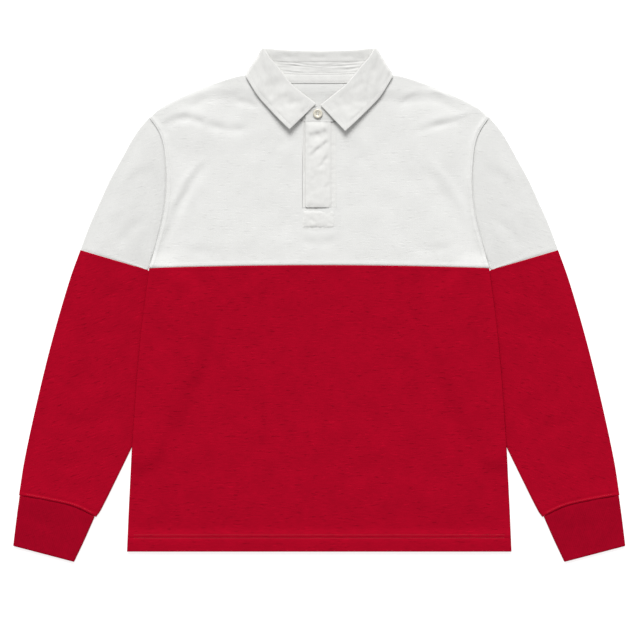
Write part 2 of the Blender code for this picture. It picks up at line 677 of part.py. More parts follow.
def neck_tape(mat):
    grid = []
    for share in (0.0, 0.5, 1.0):
        row = []
        for x in np.linspace(-TAPE_HALF, TAPE_HALF, 13):
            y = TAPE_FOOT + (curve(NECK_BACK, abs(x)) - 1.0 - TAPE_FOOT) * share
            row.append((x, y, back_height(x, y) + JERSEY / 2 + PLY_GAP + TAPE / 2))
        grid.append(row)
    return wall("neck_tape", grid, mat, TAPE / 2, TAPE / 2)


# ---- collar ---------------------------------------------------------------------------
SIDE_RUN = np.array(COLLAR_SIDE_END) - np.array(COLLAR_CORNER)
SIDE_LENGTH = float(np.linalg.norm(SIDE_RUN))
SIDE_RUN = SIDE_RUN / SIDE_LENGTH                      # along the collar's side edge, downwards
SIDE_OUT = np.array((-SIDE_RUN[1], SIDE_RUN[0]))       # straight out of that edge
TURN = [math.radians(a) for a in (0, 25, 50, 70, 90, 110, 130, 155, 180)]
# heights of the layers where the collar turns round the shoulder: middle and radius
TURN_NECK = (4.4, 1.0)
TURN_FOLD_IN = (5.45, 1.55)
TURN_FOLD_OUT = (5.45, 4.35)
TURN_EDGE = (4.75, 3.65)
ROLL = [math.radians(a) for a in (0, 45, 90, 135, 180)]
LEAF_SHARES = (0.22, 0.5, 0.8, 1.0)            # rows of the leaf, from fold to outer edge
STAND_SHARES = (0.0, 0.4, 0.75, 1.0)           # rows of the stand, from neck seam to its top
STAND_OVER = 2.0                               # the stand's over end lies this far above its under end
FRONT_UNDER_STAND = front_height(0.0, STAND_FOOT - 0.7)


def front_station(s, side):
    """Guide points of one station of a front wing: N, F, E, the fold's outward direction, the
    leaf's inner and outer height at the fold and the stand's extra height."""
    def read(column):
        return curve(COLLAR_FRONT, s, column)

    neck = np.array((read(1), read(2))) + 1.4 * SEAM_GAP * np.array((-0.7, 0.7))
    fold = np.array((read(3), read(4)))
    edge = np.array((read(5), read(6)))
    z_in = read(7) if side > 0 else read(8)
    z_out = read(9)
    if side < 0:
        shift = np.array((-LEFT_SHIFT[0], LEFT_SHIFT[1])) * (1 - ease(s / 0.8))
        fold = fold + shift
        edge = edge + shift
    step = 0.02
    ahead = np.array((curve(COLLAR_FRONT, s + step, 3), curve(COLLAR_FRONT, s + step, 4)))
    behind = np.array((curve(COLLAR_FRONT, s - step, 3), curve(COLLAR_FRONT, s - step, 4)))
    run = unit(ahead - behind)
    outward = np.array((-run[1], run[0]))
    return neck, fold, edge, outward, z_in, z_out, read(10)


def stand_share(s):
    """Height of the stand as a share of the way from neck seam to fold, from front to side."""
    return 0.86 - 0.34 * ease((s - 0.3) / 0.7)


def front_section(s, side):
    """Cross-section of a front wing: points of the stand, then points of the leaf."""
    neck, fold, edge, outward, z_in, z_out, over = front_station(s, side)
    roll = (z_out - z_in) / 2
    centre = fold - outward * (roll + LEAF / 2)
    neck_z = front_height(*neck) + (over if side > 0 else 0.0)
    top_share = stand_share(s)

    def inner_row(share):
        height = neck_z + (z_in - neck_z) * math.sin(share * math.pi / 2)
        return np.array((*(neck + (centre - neck) * share), height))

    stand = [inner_row(t * top_share) for t in STAND_SHARES]
    gap = 2 * SEAM_GAP / float(np.linalg.norm(centre - neck))
    leaf = [inner_row(t) for t in (top_share + gap, (1 + top_share + gap) / 2)]
    leaf += [np.array((*(centre + outward * roll * math.sin(a)), (z_in + z_out) / 2 - roll * math.cos(a)))
             for a in ROLL]
    edge_z = front_height(*edge) + JERSEY / 2 + LEAF_FLOAT + LEAF / 2
    for t in LEAF_SHARES:
        leaf.append(np.array((*(centre + (edge - centre) * t), z_out + (edge_z - z_out) * t * t)))
    return stand, leaf


def side_axis(reach, distance):
    """Point of the axis that a row of the collar turns round: distance below the corner, and
    reach inside the side edge."""
    return np.array(COLLAR_CORNER) + SIDE_RUN * distance - SIDE_OUT * reach


def side_section(angle):
    """Cross-section of the collar where it turns round the shoulder; angle 0 is its front side."""
    neck_out = np.array(NECK_POINT) - np.array(COLLAR_CORNER)
    neck_down = float(np.dot(neck_out, SIDE_RUN)) - 10 * SEAM_GAP
    neck_reach = -float(np.dot(neck_out, SIDE_OUT)) + JERSEY / 2 + TURN_NECK[1]
    fold_reach = TURN_FOLD_OUT[1] + LEAF / 2
    roll = (TURN_FOLD_OUT[1] - TURN_FOLD_IN[1]) / 2
    centre_down = roll + LEAF / 2

    def turned(down, reach, middle, radius):
        spot = side_axis(reach, down) + SIDE_OUT * radius * math.sin(angle)
        return np.array((*spot, middle + radius * math.cos(angle)))

    def inner_row(share):
        return turned(neck_down + (centre_down - neck_down) * share,
                      neck_reach + (fold_reach - neck_reach) * share,
                      TURN_NECK[0] + (TURN_FOLD_IN[0] - TURN_NECK[0]) * share,
                      TURN_NECK[1] + (TURN_FOLD_IN[1] - TURN_NECK[1]) * share)

    top_share = stand_share(1.0)
    stand = [inner_row(t * top_share) for t in STAND_SHARES]
    gap = 2 * SEAM_GAP / 31.0
    leaf = [inner_row(t) for t in (top_share + gap, (1 + top_share + gap) / 2)]
    for a in ROLL:
        leaf.append(turned(centre_down - roll * math.sin(a), fold_reach, TURN_FOLD_IN[0],
                           TURN_FOLD_IN[1] + roll * (1 - math.cos(a))))
    level = math.cos(angle)
    drop = EDGE_DROP * level**2.5 if level > 0 else BACK_EDGE_DROP * level**4
    for t in LEAF_SHARES:
        leaf.append(turned(centre_down + (SIDE_LENGTH - 2.2 - centre_down) * t + drop * t * t,
                           fold_reach + (TURN_EDGE[1] + LEAF / 2 - fold_reach) * t,
                           TURN_FOLD_OUT[0] + (TURN_EDGE[0] - TURN_FOLD_OUT[0]) * t,
                           TURN_FOLD_OUT[1] + (TURN_EDGE[1] - TURN_FOLD_OUT[1]) * t))
    return stand, leaf


def back_section(share, turned_stand, turned_leaf):
    """Cross-section behind the neck; share runs from the centre back (0) to the side (1), where
    the last section of the turn takes over."""
    def read(column):
        return curve(COLLAR_BACK, min(share, COLLAR_BACK[-1][0]), column)

    fold_y, edge_y, z_in = read(1), read(2), read(3)
    roll = (z_in - LEAF_FALL_Z) / 2
    centre_y = fold_y - roll - LEAF / 2
    neck_x, fold_x, edge_x = turned_stand[0][0], turned_leaf[4][0], turned_leaf[-1][0]
    neck_y = curve(NECK_BACK, neck_x * share) + 2 * SEAM_GAP
    neck_z = back_height(neck_x * share, neck_y - 2)
    top_share = stand_share(1.0) + 0.06 * (1 - share)

    def inner_row(t):
        return np.array(((neck_x + (fold_x - neck_x) * t) * share, neck_y + (centre_y - neck_y) * t,
                         neck_z + (z_in - neck_z) * math.sin(t * math.pi / 2)))

    gap = 2 * SEAM_GAP / 28.0
    stand = [inner_row(t * top_share) for t in STAND_SHARES]
    leaf = [inner_row(t) for t in (top_share + gap, (1 + top_share + gap) / 2)]
    for a in ROLL:
        leaf.append(np.array((fold_x * share, centre_y + roll * math.sin(a),
                              (z_in + LEAF_FALL_Z) / 2 + roll * math.cos(a))))
    for t in LEAF_SHARES:
        leaf.append(np.array(((fold_x + (edge_x - fold_x) * t) * share,
                              centre_y + (edge_y - centre_y) * t, LEAF_FALL_Z)))

    blend = ease((share - 0.45) / 0.5)
    straight = np.array((share, 1, 1))

    def settle(points, turned):
        return [spot + (end * straight - spot) * blend for spot, end in zip(points, turned)]

    return settle(stand, turned_stand), settle(leaf, turned_leaf)


def half_collar(side):
    """Sections of one half of the collar, from its front end to the centre back."""
    stands, leaves = [], []
    for s in (0.0, 0.06, 0.12, 0.2, 0.3, 0.42, 0.55, 0.68, 0.8, 0.91):
        stand, leaf = front_section(s, side)
        stands.append(stand)
        leaves.append(leaf)
    for angle in TURN:
        stand, leaf = side_section(angle)
        stands.append(stand)
        leaves.append(leaf)
    turned_stand, turned_leaf = stands[-1], leaves[-1]
    for share in (0.93, 0.8, 0.64, 0.44, 0.22, 0.0):
        stand, leaf = back_section(share, turned_stand, turned_leaf)
        stands.append(stand)
        leaves.append(leaf)
    stands, leaves = mirrored(stands, side), mirrored(leaves, side)
    return stands, leaves


def stand_end(side):
    """The stand's straight end past the centre front, from its tip inwards."""
    start, _ = front_section(0.0, side)
    foot, top = start[0], start[-1]
    tip_x, tip_y = (OVER_FREE_X if side > 0 else -STAND_UNDER_X), 288.6
    base = FRONT_UNDER_STAND + (STAND_OVER if side > 0 else 0.0)
    lean = 0.35 if side > 0 else 0.1       # the stand's top edge lies this much higher
    blend_from = 0.5 if side > 0 else 0.6
    rows = []
    for share in (0.0, 0.06, 0.3, 0.55, 0.8):
        blend = ease((share - blend_from) / (1 - blend_from))
        row = []
        for k, t in enumerate(STAND_SHARES):
            low_x = tip_x + (foot[0] - tip_x) * share
            high_x = tip_x + 0.8 + (top[0] - tip_x - 0.8) * share
            high_y = tip_y + (top[1] - tip_y) * share
            level = base + lean * t
            row.append(np.array((low_x + (high_x - low_x) * t, foot[1] + (high_y - foot[1]) * t,
                                 level + (start[k][2] - level) * blend)))
        rows.append(row)
    return mirrored(rows, side)


def collar(mat):
    right_stand, right_leaf = half_collar(+1)
    left_stand, left_leaf = half_collar(-1)
    stand = np.concatenate([stand_end(+1), right_stand, left_stand[-2::-1], stand_end(-1)[::-1]])
    leaf = np.concatenate([right_leaf, left_leaf[-2::-1]])
    wall("collar_stand", stand, mat, STAND / 2, STAND / 2)
    wall("collar_leaf", leaf, mat, LEAF / 2, LEAF / 2)


# ---- button --------------------------------------------------------------------------
def button(mat):
    """Dished four-hole button, turned from its profile; the holes are cut right through."""
    base = FRONT_UNDER_STAND + STAND_OVER + 0.2 + STAND / 2 + PLY_GAP
    radius, height, sides = BUTTON_RADIUS, BUTTON_HEIGHT, BUTTON_SIDES
    profile = [  # distance from the axis, height: dish, rim, rounded side, bottom
        (3.4, height * 0.55), (4.3, height * 0.92), (5.4, height), (6.4, height * 0.85),
        (radius, height * 0.5), (6.4, height * 0.16), (5.0, 0.0)]
    points = [(0.0, 0.0, profile[0][1])]
    for r, z in profile:
        for k in range(sides):
            angle = 2 * math.pi * k / sides
            points.append((r * math.cos(angle), r * math.sin(angle), z))
    points.append((0.0, 0.0, 0.0))
    last = len(points) - 1
    faces = []
    for k in range(sides):
        n = (k + 1) % sides
        faces.append((0, 1 + k, 1 + n))
        for ring in range(len(profile) - 1):
            a, b = 1 + ring * sides, 1 + (ring + 1) * sides
            faces.append((a + k, b + k, b + n, a + n))
        a = 1 + (len(profile) - 1) * sides
        faces.append((a + k, last, a + n))
    points = [(x + BUTTON_AT[0], y + BUTTON_AT[1], z + base) for x, y, z in points]
    disc = add_object("button", points, faces, mat)
    for k in range(4):
        angle = math.pi / 4 + k * math.pi / 2
        centre = (BUTTON_AT[0] + HOLE_RING * math.cos(angle),
                  BUTTON_AT[1] + HOLE_RING * math.sin(angle), base)
        bpy.ops.mesh.primitive_cylinder_add(vertices=8, radius=HOLE_RADIUS * MM, depth=12 * MM,
                                            location=[c * MM for c in centre])
        cutter = bpy.context.object
        cutter.name = "button_hole_cutter_%d" % (k + 1)
        cutter.hide_render = True
        cutter.display_type = "WIRE"
        cut = disc.modifiers.new("hole", "BOOLEAN")
        cut.object = cutter
        cut.solver = "EXACT"


def main():
    for obj in list(bpy.data.objects):
        bpy.data.objects.remove(obj, do_unlink=True)
    white = material("heather_white_jersey", HEATHER_WHITE)
    twill = material("white_twill", TWILL_WHITE, 0.8)
    red = material("red_jersey", RED)
    rib = material("red_rib", RIB_RED, 0.9)
    cream = material("cream_button", CREAM, 0.35)
    front_upper(white)
    back_upper(white)
    lower_panel("front_lower", +1, red)
    lower_panel("back_lower", -1, red)
    for side, word in ((+1, "right"), (-1, "left")):
        sleeve_upper(side, "sleeve_upper_" + word, white)
        sleeve_lower(side, "sleeve_lower_" + word, red)
        cuff(side, "cuff_" + word, rib)
    collar(twill)
    neck_tape(twill)
    placket_under(twill)
    placket_over(twill)
    placket_box(twill)
    button(cream)


main()
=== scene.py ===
"""Looks of a long-sleeved rugby shirt in two colour blocks, laid flat on its back.

The script loads the shirt's solids as a fixed frame and puts a thin sewn cloth piece in place of
each of them: heather white jersey above, deep red jersey below, ribbed cuffs, a twill collar on a
stand and a buttoned placket. Sizes in the code are in millimetres; MM turns them into metres.
"""
import math

import bpy
import numpy as np
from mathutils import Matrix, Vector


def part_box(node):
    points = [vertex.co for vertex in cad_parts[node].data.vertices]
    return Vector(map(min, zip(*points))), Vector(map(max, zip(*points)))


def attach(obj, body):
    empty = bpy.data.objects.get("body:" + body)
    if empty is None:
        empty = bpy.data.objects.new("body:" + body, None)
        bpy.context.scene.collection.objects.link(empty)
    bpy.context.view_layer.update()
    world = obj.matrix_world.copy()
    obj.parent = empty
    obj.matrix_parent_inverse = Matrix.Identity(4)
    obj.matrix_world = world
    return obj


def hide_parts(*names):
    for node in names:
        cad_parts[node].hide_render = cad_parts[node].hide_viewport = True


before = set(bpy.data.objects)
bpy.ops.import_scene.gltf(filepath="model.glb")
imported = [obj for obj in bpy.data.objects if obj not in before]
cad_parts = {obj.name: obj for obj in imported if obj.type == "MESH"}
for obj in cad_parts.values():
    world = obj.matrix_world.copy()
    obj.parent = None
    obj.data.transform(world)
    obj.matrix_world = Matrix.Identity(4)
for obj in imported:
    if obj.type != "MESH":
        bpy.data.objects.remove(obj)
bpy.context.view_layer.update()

bl_info = {
    "name": "Rugby shirt",
    "version": (1, 0, 0),
    "blender": (4, 5, 0),
    "location": "View3D > Sidebar > Shirt",
    "description": "Sews a two-colour rugby shirt round its solids and sets up its studio",
    "category": "Object",
}

MM = 0.001
BODY = "root"
FULL_TURN = 2 * math.pi

# ---- sizes that the solids are made to ----
JERSEY = 1.2            # wall of the body and the sleeves
LAYER_PITCH = 2.0       # middle of one jersey layer to the middle of the next
SEAM_GAP = 0.16         # each panel stops this far from the seam line
PLY_GAP = 0.32          # clearance between a piece and the piece it lies on
HEM_Y = -359.3
HEM_DEPTH = 24.0
HEM_PLY = 1.0
HEM_LIFT = 1.6
BODY_LOFT = 1.7
SEAM_LOFT = 0.5
SLEEVE_LOFT = 2.0
CUFF_LIFT = 2.0
WEDGE_LIFT = 3.7        # the body rides this far over the tucked-in sleeve
FALL_LIFT = 2.8         # the back rides this far over the collar's back fall
RIB = 2.2
RIB_PITCH = 3.0
LEAF = 2.2
LEAF_FLOAT = 0.9
POINT_LIFT = 2.4        # the collar's points curl up this much
STAND = 1.6
STAND_OVER = 2.0        # the over end of the stand rides this far over the under end
PLACKET = 1.6
TAPE = 0.8
BOX_PLY = 1.0
SLIT_HALF = 24.8
SLIT_FOOT = 141.4
STAND_FOOT = 266.7
OVER_FREE_X = -20.4
UNDER_END_X = 12.6
OVER_STEP_X = 13.6      # right of it the over band comes down from its raised face
OVER_STEP = 3.0
STAND_UNDER_X = 16.5
BLOCK_SEAM_MID = 58.3
BLOCK_SEAM_SIDE = 54.0
ARMPIT_X = 247.6
SHOULDER_TIP = (247.8, 274.0)
NECK_POINT = (94.0, 343.0)
SLEEVE_SEAM_OUT = (348.0, 80.2)
NECK_END_X = 93.7       # the back's neck edge turns into its shoulder fold here
UNDERARM = (250.0, 51.2)
TAPE_HALF = 60.0
TAPE_FOOT = 323.0
BOX_HALF = 24.6
BOX_FOOT = 111.5
BOX_TOP = 138.5
BUTTON_AT = (-2.2, 278.4)
BUTTON_HEIGHT = 2.6
UPPER_REACH = 120.0     # length of the sleeve's upper block at its middle
LOWER_LENGTH = 365.0
CUFF_LENGTH = 72.0
CUFF_LAP = 0.45         # sleeve and cuff run this far over their seam line, so that it stays shut
SLEEVE_GRAIN = 17.5     # the sleeves' grain leans this many degrees from upright
BAND_WIDTH = 6.4        # the lapped seam of the armhole, out to its far row of stitches
ARMHOLE_ROWS = (1.6, BAND_WIDTH)
HEM_ROWS = (19.9, 24.5)     # rows of stitches, from the hem's edge
OVER_ROWS = (18.8, 22.7)    # the over band's stitches, and the grooves that they lie in
OVER_GROOVES = (18.4, 22.4)
LEAF_MARGIN = 5.6       # the collar's stitches run this far from its edge

# ---- outlines: a row for each point, columns as named ----
BODY_SIDE = [  # y, half width
    (HEM_Y, 280.2), (-284, 276.9), (-178, 271.0), (-45, 260.3), (54, ARMPIT_X)]
ARMHOLE = [  # y, distance from the centre line
    (54, ARMPIT_X), (71.4, 242.4), (91.8, 236.4), (116.6, 229.6), (142.8, 224.8), (178.5, 222.2),
    (218.6, 224.7), (237.6, 227.9), (255.1, 234.8), (274, SHOULDER_TIP[0])]
SHOULDER = [  # x, y
    NECK_POINT, (98, 339.0), (102, 336.3), (106, 335.1), (112, 334.6), (124.6, 332.0),
    (157.4, 321.1), (185.1, 309.8), (211.3, 297.9), (232.5, 286.0), SHOULDER_TIP]
NECK_FRONT = [(28.5, 271), (55, 296), (76.5, 320)]  # x, y
NECK_BACK = [(0, 338.0), (30, 338.4), (60, 340.0), NECK_POINT]  # x, y
SLEEVE_OUT = [  # y, x of the outer fold
    (-276.5, 438.0), (-225.9, 430.0), (-138.5, 411.0), (-51, 389.2), (36.4, 363.6),
    (80.2, 347.8), (116.6, 334.5), (153, 318.5), (182.2, 305.3), (211.3, 289.3),
    (240.5, 273.3), (258, 261.6), (274, SHOULDER_TIP[0])]
SLEEVE_IN = [  # y, x of the underarm fold, tucked under the body down to y = -208
    (-308.4, 325.0), (-298.8, 318.2), (-255, 296.2), (-208, 273.3), (-150, 246), (-100, 224),
    (-50, 208), (-15, 206), (12, 214), (30, 228), (44, 242), (51.2, 250)]
CUFF_SEAM = [(325.0, -308.4), (356.4, -293.4), (390.6, -285.1), (437.5, -276.5)]  # x, y
CUFF_HEM = [(357.1, -374.3), (446.0, -351.0)]  # x, y
# Sections of a front wing: place along it, x and y of the neck seam, of the fold and of the outer
# edge, inner height of the fold at the right and at the left, its outer height, and how far the
# right wing's neck seam is raised.
COLLAR_FRONT = [
    (0.00, 20.5, 266.9, 1.5, 290.8, 37.8, 252.4, 7.3, 5.0, 10.1, 1.95),
    (0.12, 28.5, 271.0, 11.0, 298.5, 46.2, 260.2, 7.1, 5.4, 10.0, 0.35),
    (0.28, 38.6, 279.8, 20.5, 306.2, 55.8, 269.2, 7.0, 6.2, 9.9, 0.0),
    (0.52, 55.0, 296.0, 39.8, 322.1, 72.4, 285.6, 7.0, 7.0, 9.8, 0.0),
    (0.80, 76.5, 320.0, 62.6, 349.6, 89.8, 304.4, 7.0, 7.0, 9.8, 0.0),
    (1.00, 89.5, 337.5, 77.6, 367.8, 104.4, 327.8, 7.0, 7.0, 9.8, 0.0)]
COLLAR_BACK = [  # share of the half width, y of the fold, y of the edge, inner height
    (0.00, 370.3, 325.6, 5.4), (0.35, 371.0, 326.2, 5.5), (0.70, 372.2, 328.8, 6.0),
    (0.92, 374.0, 331.6, 6.2)]
COLLAR_CORNER = np.array((82.6, 375.4))
COLLAR_SIDE_END = np.array((108.2, 335.1))
EDGE_DROP = 5.4
BACK_EDGE_DROP = 2.6
LEFT_SHIFT = np.array((5.4, 2.6))   # the left wing's fold and edge lie this far from the right's

# ---- creases: x and y of points along each, half width, depth (a ridge where it is below 0) ----
FRONT_CREASES = [
    ((-190, 287, -172, 298.5, -156, 304, -140, 306.5, -124, 308.5, -106, 312), 6.0, 1.7),
    ((-192, 294, -174, 305.5, -157, 311.5, -140, 314, -122, 317), 5.2, -1.0),
    ((-126, 297.5, -105, 293.5, -86, 286), 5.0, 1.2),
    ((-228, 256, -211, 268.5, -191, 271.5, -168, 265), 5.2, 2.0),
    ((-184, 268, -158, 261, -130, 254.5, -98, 257), 6.0, 1.2),
    ((-234, 257, -226, 252.5, -218, 251), 2.6, 1.3),
    ((-226, 86, -216, 109, -205, 140, -195, 160, -182, 181, -170, 202), 5.2, 1.35),
    ((-166, 216, -190, 190, -206, 162, -216, 134), 5.0, -1.0),
    ((-176, 174, -192, 142, -200, 110), 6.5, -0.5),
    ((110, 289, 133, 299.5, 155, 303, 177, 299.5, 196, 287.5, 212, 280), 6.0, 1.7),
    ((114, 297, 135, 307.5, 157, 310.5, 178, 306, 199, 294), 5.2, -0.9),
    ((140, 251, 168, 260, 196, 266.5, 220, 270.5, 238, 273), 5.2, 1.6),
    ((157, 216, 177, 192, 197, 165, 212, 133, 221, 104), 5.5, -0.6),
    ((152, 200, 173, 172, 192, 143, 205, 112), 7.0, 0.65),
    ((-40, 246, -58, 232, -70, 206), 9.0, 0.7),
    ((44, 240, 60, 222, 66, 196), 9.0, 0.6),
    ((-214, 86, -180, 78, -140, 76), 7.0, 0.5),
    ((206, 92, 176, 82, 140, 80), 7.0, 0.6),
    ((-34, 104, -20, 92, 10, 90, 36, 102), 6.0, 0.7)]
FRONT_LOWER_CREASES = [
    ((-240, 38, -214, 22, -176, 12), 9.0, 0.4),
    ((238, 36, 206, 14, 168, 2), 10.0, 0.4),
    ((-250, -30, -214, -62, -196, -110), 12.0, 0.4),
    ((246, -60, 222, -110, 214, -168), 12.0, 0.35),
    ((-120, -200, -60, -214, 10, -206), 14.0, 0.3),
    ((60, -120, 110, -134, 170, -126), 14.0, 0.3),
    ((-30, -20, 30, -34, 96, -30), 14.0, 0.25),
    ((-196, -322, -190, -282, -196, -236), 9.0, 0.35),
    ((150, -324, 158, -280, 152, -238), 9.0, 0.35),
    ((-30, -326, -24, -292, -28, -260), 8.0, 0.25)]
BACK_CREASES = [
    ((-210, 240, -150, 226, -90, 232), 12.0, 0.35),
    ((92, 236, 150, 224, 212, 238), 12.0, 0.35),
    ((-60, 200, 0, 186, 66, 196), 14.0, 0.3),
    ((-200, 120, -170, 60, -160, -20), 12.0, 0.3),
    ((190, 110, 168, 40, 158, -40), 12.0, 0.3),
    ((-40, -60, 10, -130, 20, -220), 14.0, 0.3)]
SLEEVE_CREASES = [  # for the right sleeve; the left one has them mirrored
    ((240, 196, 262, 190, 282, 172), 6.0, 0.6),
    ((246, 128, 272, 112, 296, 82), 8.0, 0.8),
    ((262, 160, 284, 140, 306, 128), 8.0, -0.4),
    ((262, 22, 300, 16, 338, -16), 10.0, 0.8),
    ((270, -28, 306, -44, 352, -48), 10.0, 0.5),
    ((290, -104, 330, -112, 380, -92), 11.0, 0.5),
    ((296, -160, 344, -176, 392, -158), 10.0, 0.7),
    ((318, -214, 356, -232, 404, -222), 9.0, 0.6),
    ((350, 52, 366, 10, 374, -40), 7.0, 0.4),
    ((404, -150, 414, -196, 420, -240), 6.0, 0.4)]
PLACKET_CREASES = [
    ((-17, 245.5, -4, 247.5, 12.5, 253), 4.0, 1.5),
    ((-14, 215, -3.5, 225.5, 6, 232.5, 16, 243), 2.6, 1.25),
    ((-1, 197.5, 9, 212, 14, 222), 2.4, 0.8),
    ((-9, 180, -5, 190), 2.6, 0.5),
    ((4, 170, 10, 172, 15, 178), 2.6, 0.4),
    ((-17, 231, -10, 226), 2.4, 0.4)]
NECK_CREASES = [  # inside the collar behind the neck
    ((-66, 350.5, -46, 349.5, -22, 347, 0, 345.5), 1.0, 0.50),
    ((68, 351, 44, 348.8, 22, 347.5, 4, 346.5), 1.0, 0.50),
    ((-64, 354, -40, 352.6, -14, 351.5), 0.9, 0.35),
    ((62, 354.6, 38, 352.2, 16, 351.4), 0.9, 0.35),
    ((-58, 341.8, -42, 339.6, -26, 338.4), 1.1, 0.45),
    ((30, 342.4, 46, 343.6, 60, 346.2), 1.1, 0.40),
    ((-80, 362, -68, 358, -54, 357), 4.6, 0.55),
    ((-56, 364, -42, 361, -28, 361.5), 3.4, 0.4),
    ((80, 362, 68, 358, 54, 357), 4.6, 0.55),
    ((52, 363, 40, 361.5, 28, 362), 3.2, 0.35),
    ((-36, 352.5, -16, 349, 6, 348.5, 28, 351), 1.2, 0.4),
    ((-18, 363, -2, 360.5, 14, 362), 3.0, 0.4)]
LEAF_CREASES = [  # place along the collar from its front end, place across from its fold
    ((10, 12, 26, 20, 44, 18), 6.0, 0.7),
    ((30, 34, 50, 30, 72, 34), 6.0, 0.6),
    ((58, 12, 72, 22, 84, 20), 6.0, 0.7),
    ((12, 36, 20, 42, 34, 42), 5.0, -0.5),
    ((40, 8, 56, 12, 70, 8), 4.0, 0.5),
    ((86, 30, 92, 20, 100, 12), 4.0, 0.6)]

# ---- where the rows of points lie: close together at seams, edges and folds ----
SEAM_STEPS = (0.0, 0.2, 0.6, 1.1, 1.6, 2.2, 3.2, 4.4, 5.6, 6.4, 7.2, 8.4, 10.2)
FREE_STEPS = (0.0, 0.2, 0.6, 1.1, 1.8, 2.8, 4.2, 6.0, 8.5)
HEM_STEPS = np.array((0.05, 0.25, 0.6, 1.1, 2.0, 3.4, 5.5, 8.5, 12, 15.5, 18.2, 19.2, 19.9, 20.6,
                      21.4, 22.4, 23.2, 23.9, 24.5, 25.1, 26.0, 28.0, 31.0))
BAND_STEPS = np.array((0.0, 0.15, 0.4, 0.8, 1.4))
CURL = np.linspace(0.0, math.pi / 2, 6)     # angles round a panel's rolled edge
ROLL = np.radians(np.linspace(0, 180, 13))  # angles round the collar's pressed fold
ROLL_OUT = np.sin(ROLL) ** 0.3              # the fold is squarer than half a circle
ROLL_UP = np.sign(np.cos(ROLL)) * np.abs(np.cos(ROLL)) ** 0.3
STAND_SHARES = np.concatenate([[0.0, 0.02, 0.05], np.linspace(0.09, 0.91, 19), [0.95, 0.98, 1.0]])
INNER_SHARES = np.concatenate([[0.0, 0.03], np.linspace(0.08, 0.94, 12)])
FOLD_ROW = len(INNER_SHARES) + len(ROLL) // 2
FALL_ROW = len(INNER_SHARES) + len(ROLL)    # first row of the leaf's outer fall
EDGE_STEPS = np.array((12.0, 9.0, 7.2, 6.2, 5.6, 5.0, 4.0, 2.6, 1.6, 0.9, 0.4, 0.12, 0.0))


# ---- shape helpers ----
def ease(t):
    """Smooth step from 0 to 1."""
    t = np.clip(t, 0.0, 1.0)
    return t * t * (3 - 2 * t)


def hump(distance, half_width):
    """Soft bump, 1 at no distance."""
    return np.exp(-(distance / half_width) ** 2)


def row_near(values, at):
    """Number of the value that lies nearest to at."""
    return int(np.argmin(np.abs(values - at)))


def unit(vectors):
    return vectors / np.linalg.norm(vectors, axis=-1, keepdims=True)


def travelled(points, axis=0):
    """Distance along rows of points from the first point of each."""
    steps = np.linalg.norm(np.diff(points, axis=axis), axis=-1)
    return np.concatenate([0 * steps.take([0], axis), np.cumsum(steps, axis=axis)], axis=axis)


def smooth_curve(table, column=1):
    """Smooth reading of a table's column at values of its first column."""
    keys, values = np.array(table, float)[:, [0, column]].T
    low = np.maximum(np.arange(len(keys)) - 1, 0)
    high = np.minimum(np.arange(len(keys)) + 1, len(keys) - 1)
    slopes = (values[high] - values[low]) / (keys[high] - keys[low])

    def read(at):
        at = np.clip(at, keys[0], keys[-1])
        k = np.clip(np.searchsorted(keys, at) - 1, 0, len(keys) - 2)
        span = keys[k + 1] - keys[k]
        t = (at - keys[k]) / span
        return ((2 * t**3 - 3 * t**2 + 1) * values[k] + (t**3 - 2 * t**2 + t) * span * slopes[k]
                + (3 * t**2 - 2 * t**3) * values[k + 1] + (t**3 - t**2) * span * slopes[k + 1])

    return read


def along(points, count=400):
    """Turns a chain of (x, y) points into a function of the share of its length."""
    points = np.array(points, float)
    lengths = travelled(points)
    knots = np.linspace(0, 1, count)
    fine = [smooth_curve(np.column_stack([lengths / lengths[-1], column]))(knots)
            for column in points.T]
    return lambda t: np.stack([np.interp(t, knots, line) for line in fine], axis=-1)


def patch(left, right, bottom, top):
    """Surface between four edges; u runs from left to right and v from bottom to top."""
    def place(u, v):
        u, v = np.broadcast_arrays(np.asarray(u, float), np.asarray(v, float))
        a, b = u[..., None], v[..., None]
        corners = ((1 - a) * ((1 - b) * left(0.0) + b * left(1.0))
                   + a * ((1 - b) * right(0.0) + b * right(1.0)))
        return (1 - a) * left(v) + a * right(v) + (1 - b) * bottom(u) + b * top(u) - corners

    return place


def undulation(x, y, seed, size):
    """Gentle uneven waves of about one size, from -1 to 1 for the most part."""
    rng = np.random.default_rng(seed)
    total = np.zeros(np.broadcast(x, y).shape)
    waves = 7
    for _ in range(waves):
        angle, first, second = rng.uniform(0, FULL_TURN, 3)
        pace = FULL_TURN / (size * rng.uniform(0.75, 1.7))
        ahead = x * math.cos(angle) + y * math.sin(angle)
        aside = y * math.cos(angle) - x * math.sin(angle)
        total += np.sin(pace * ahead + first + 0.9 * np.sin(0.6 * pace * aside + second))
    return total / math.sqrt(waves)


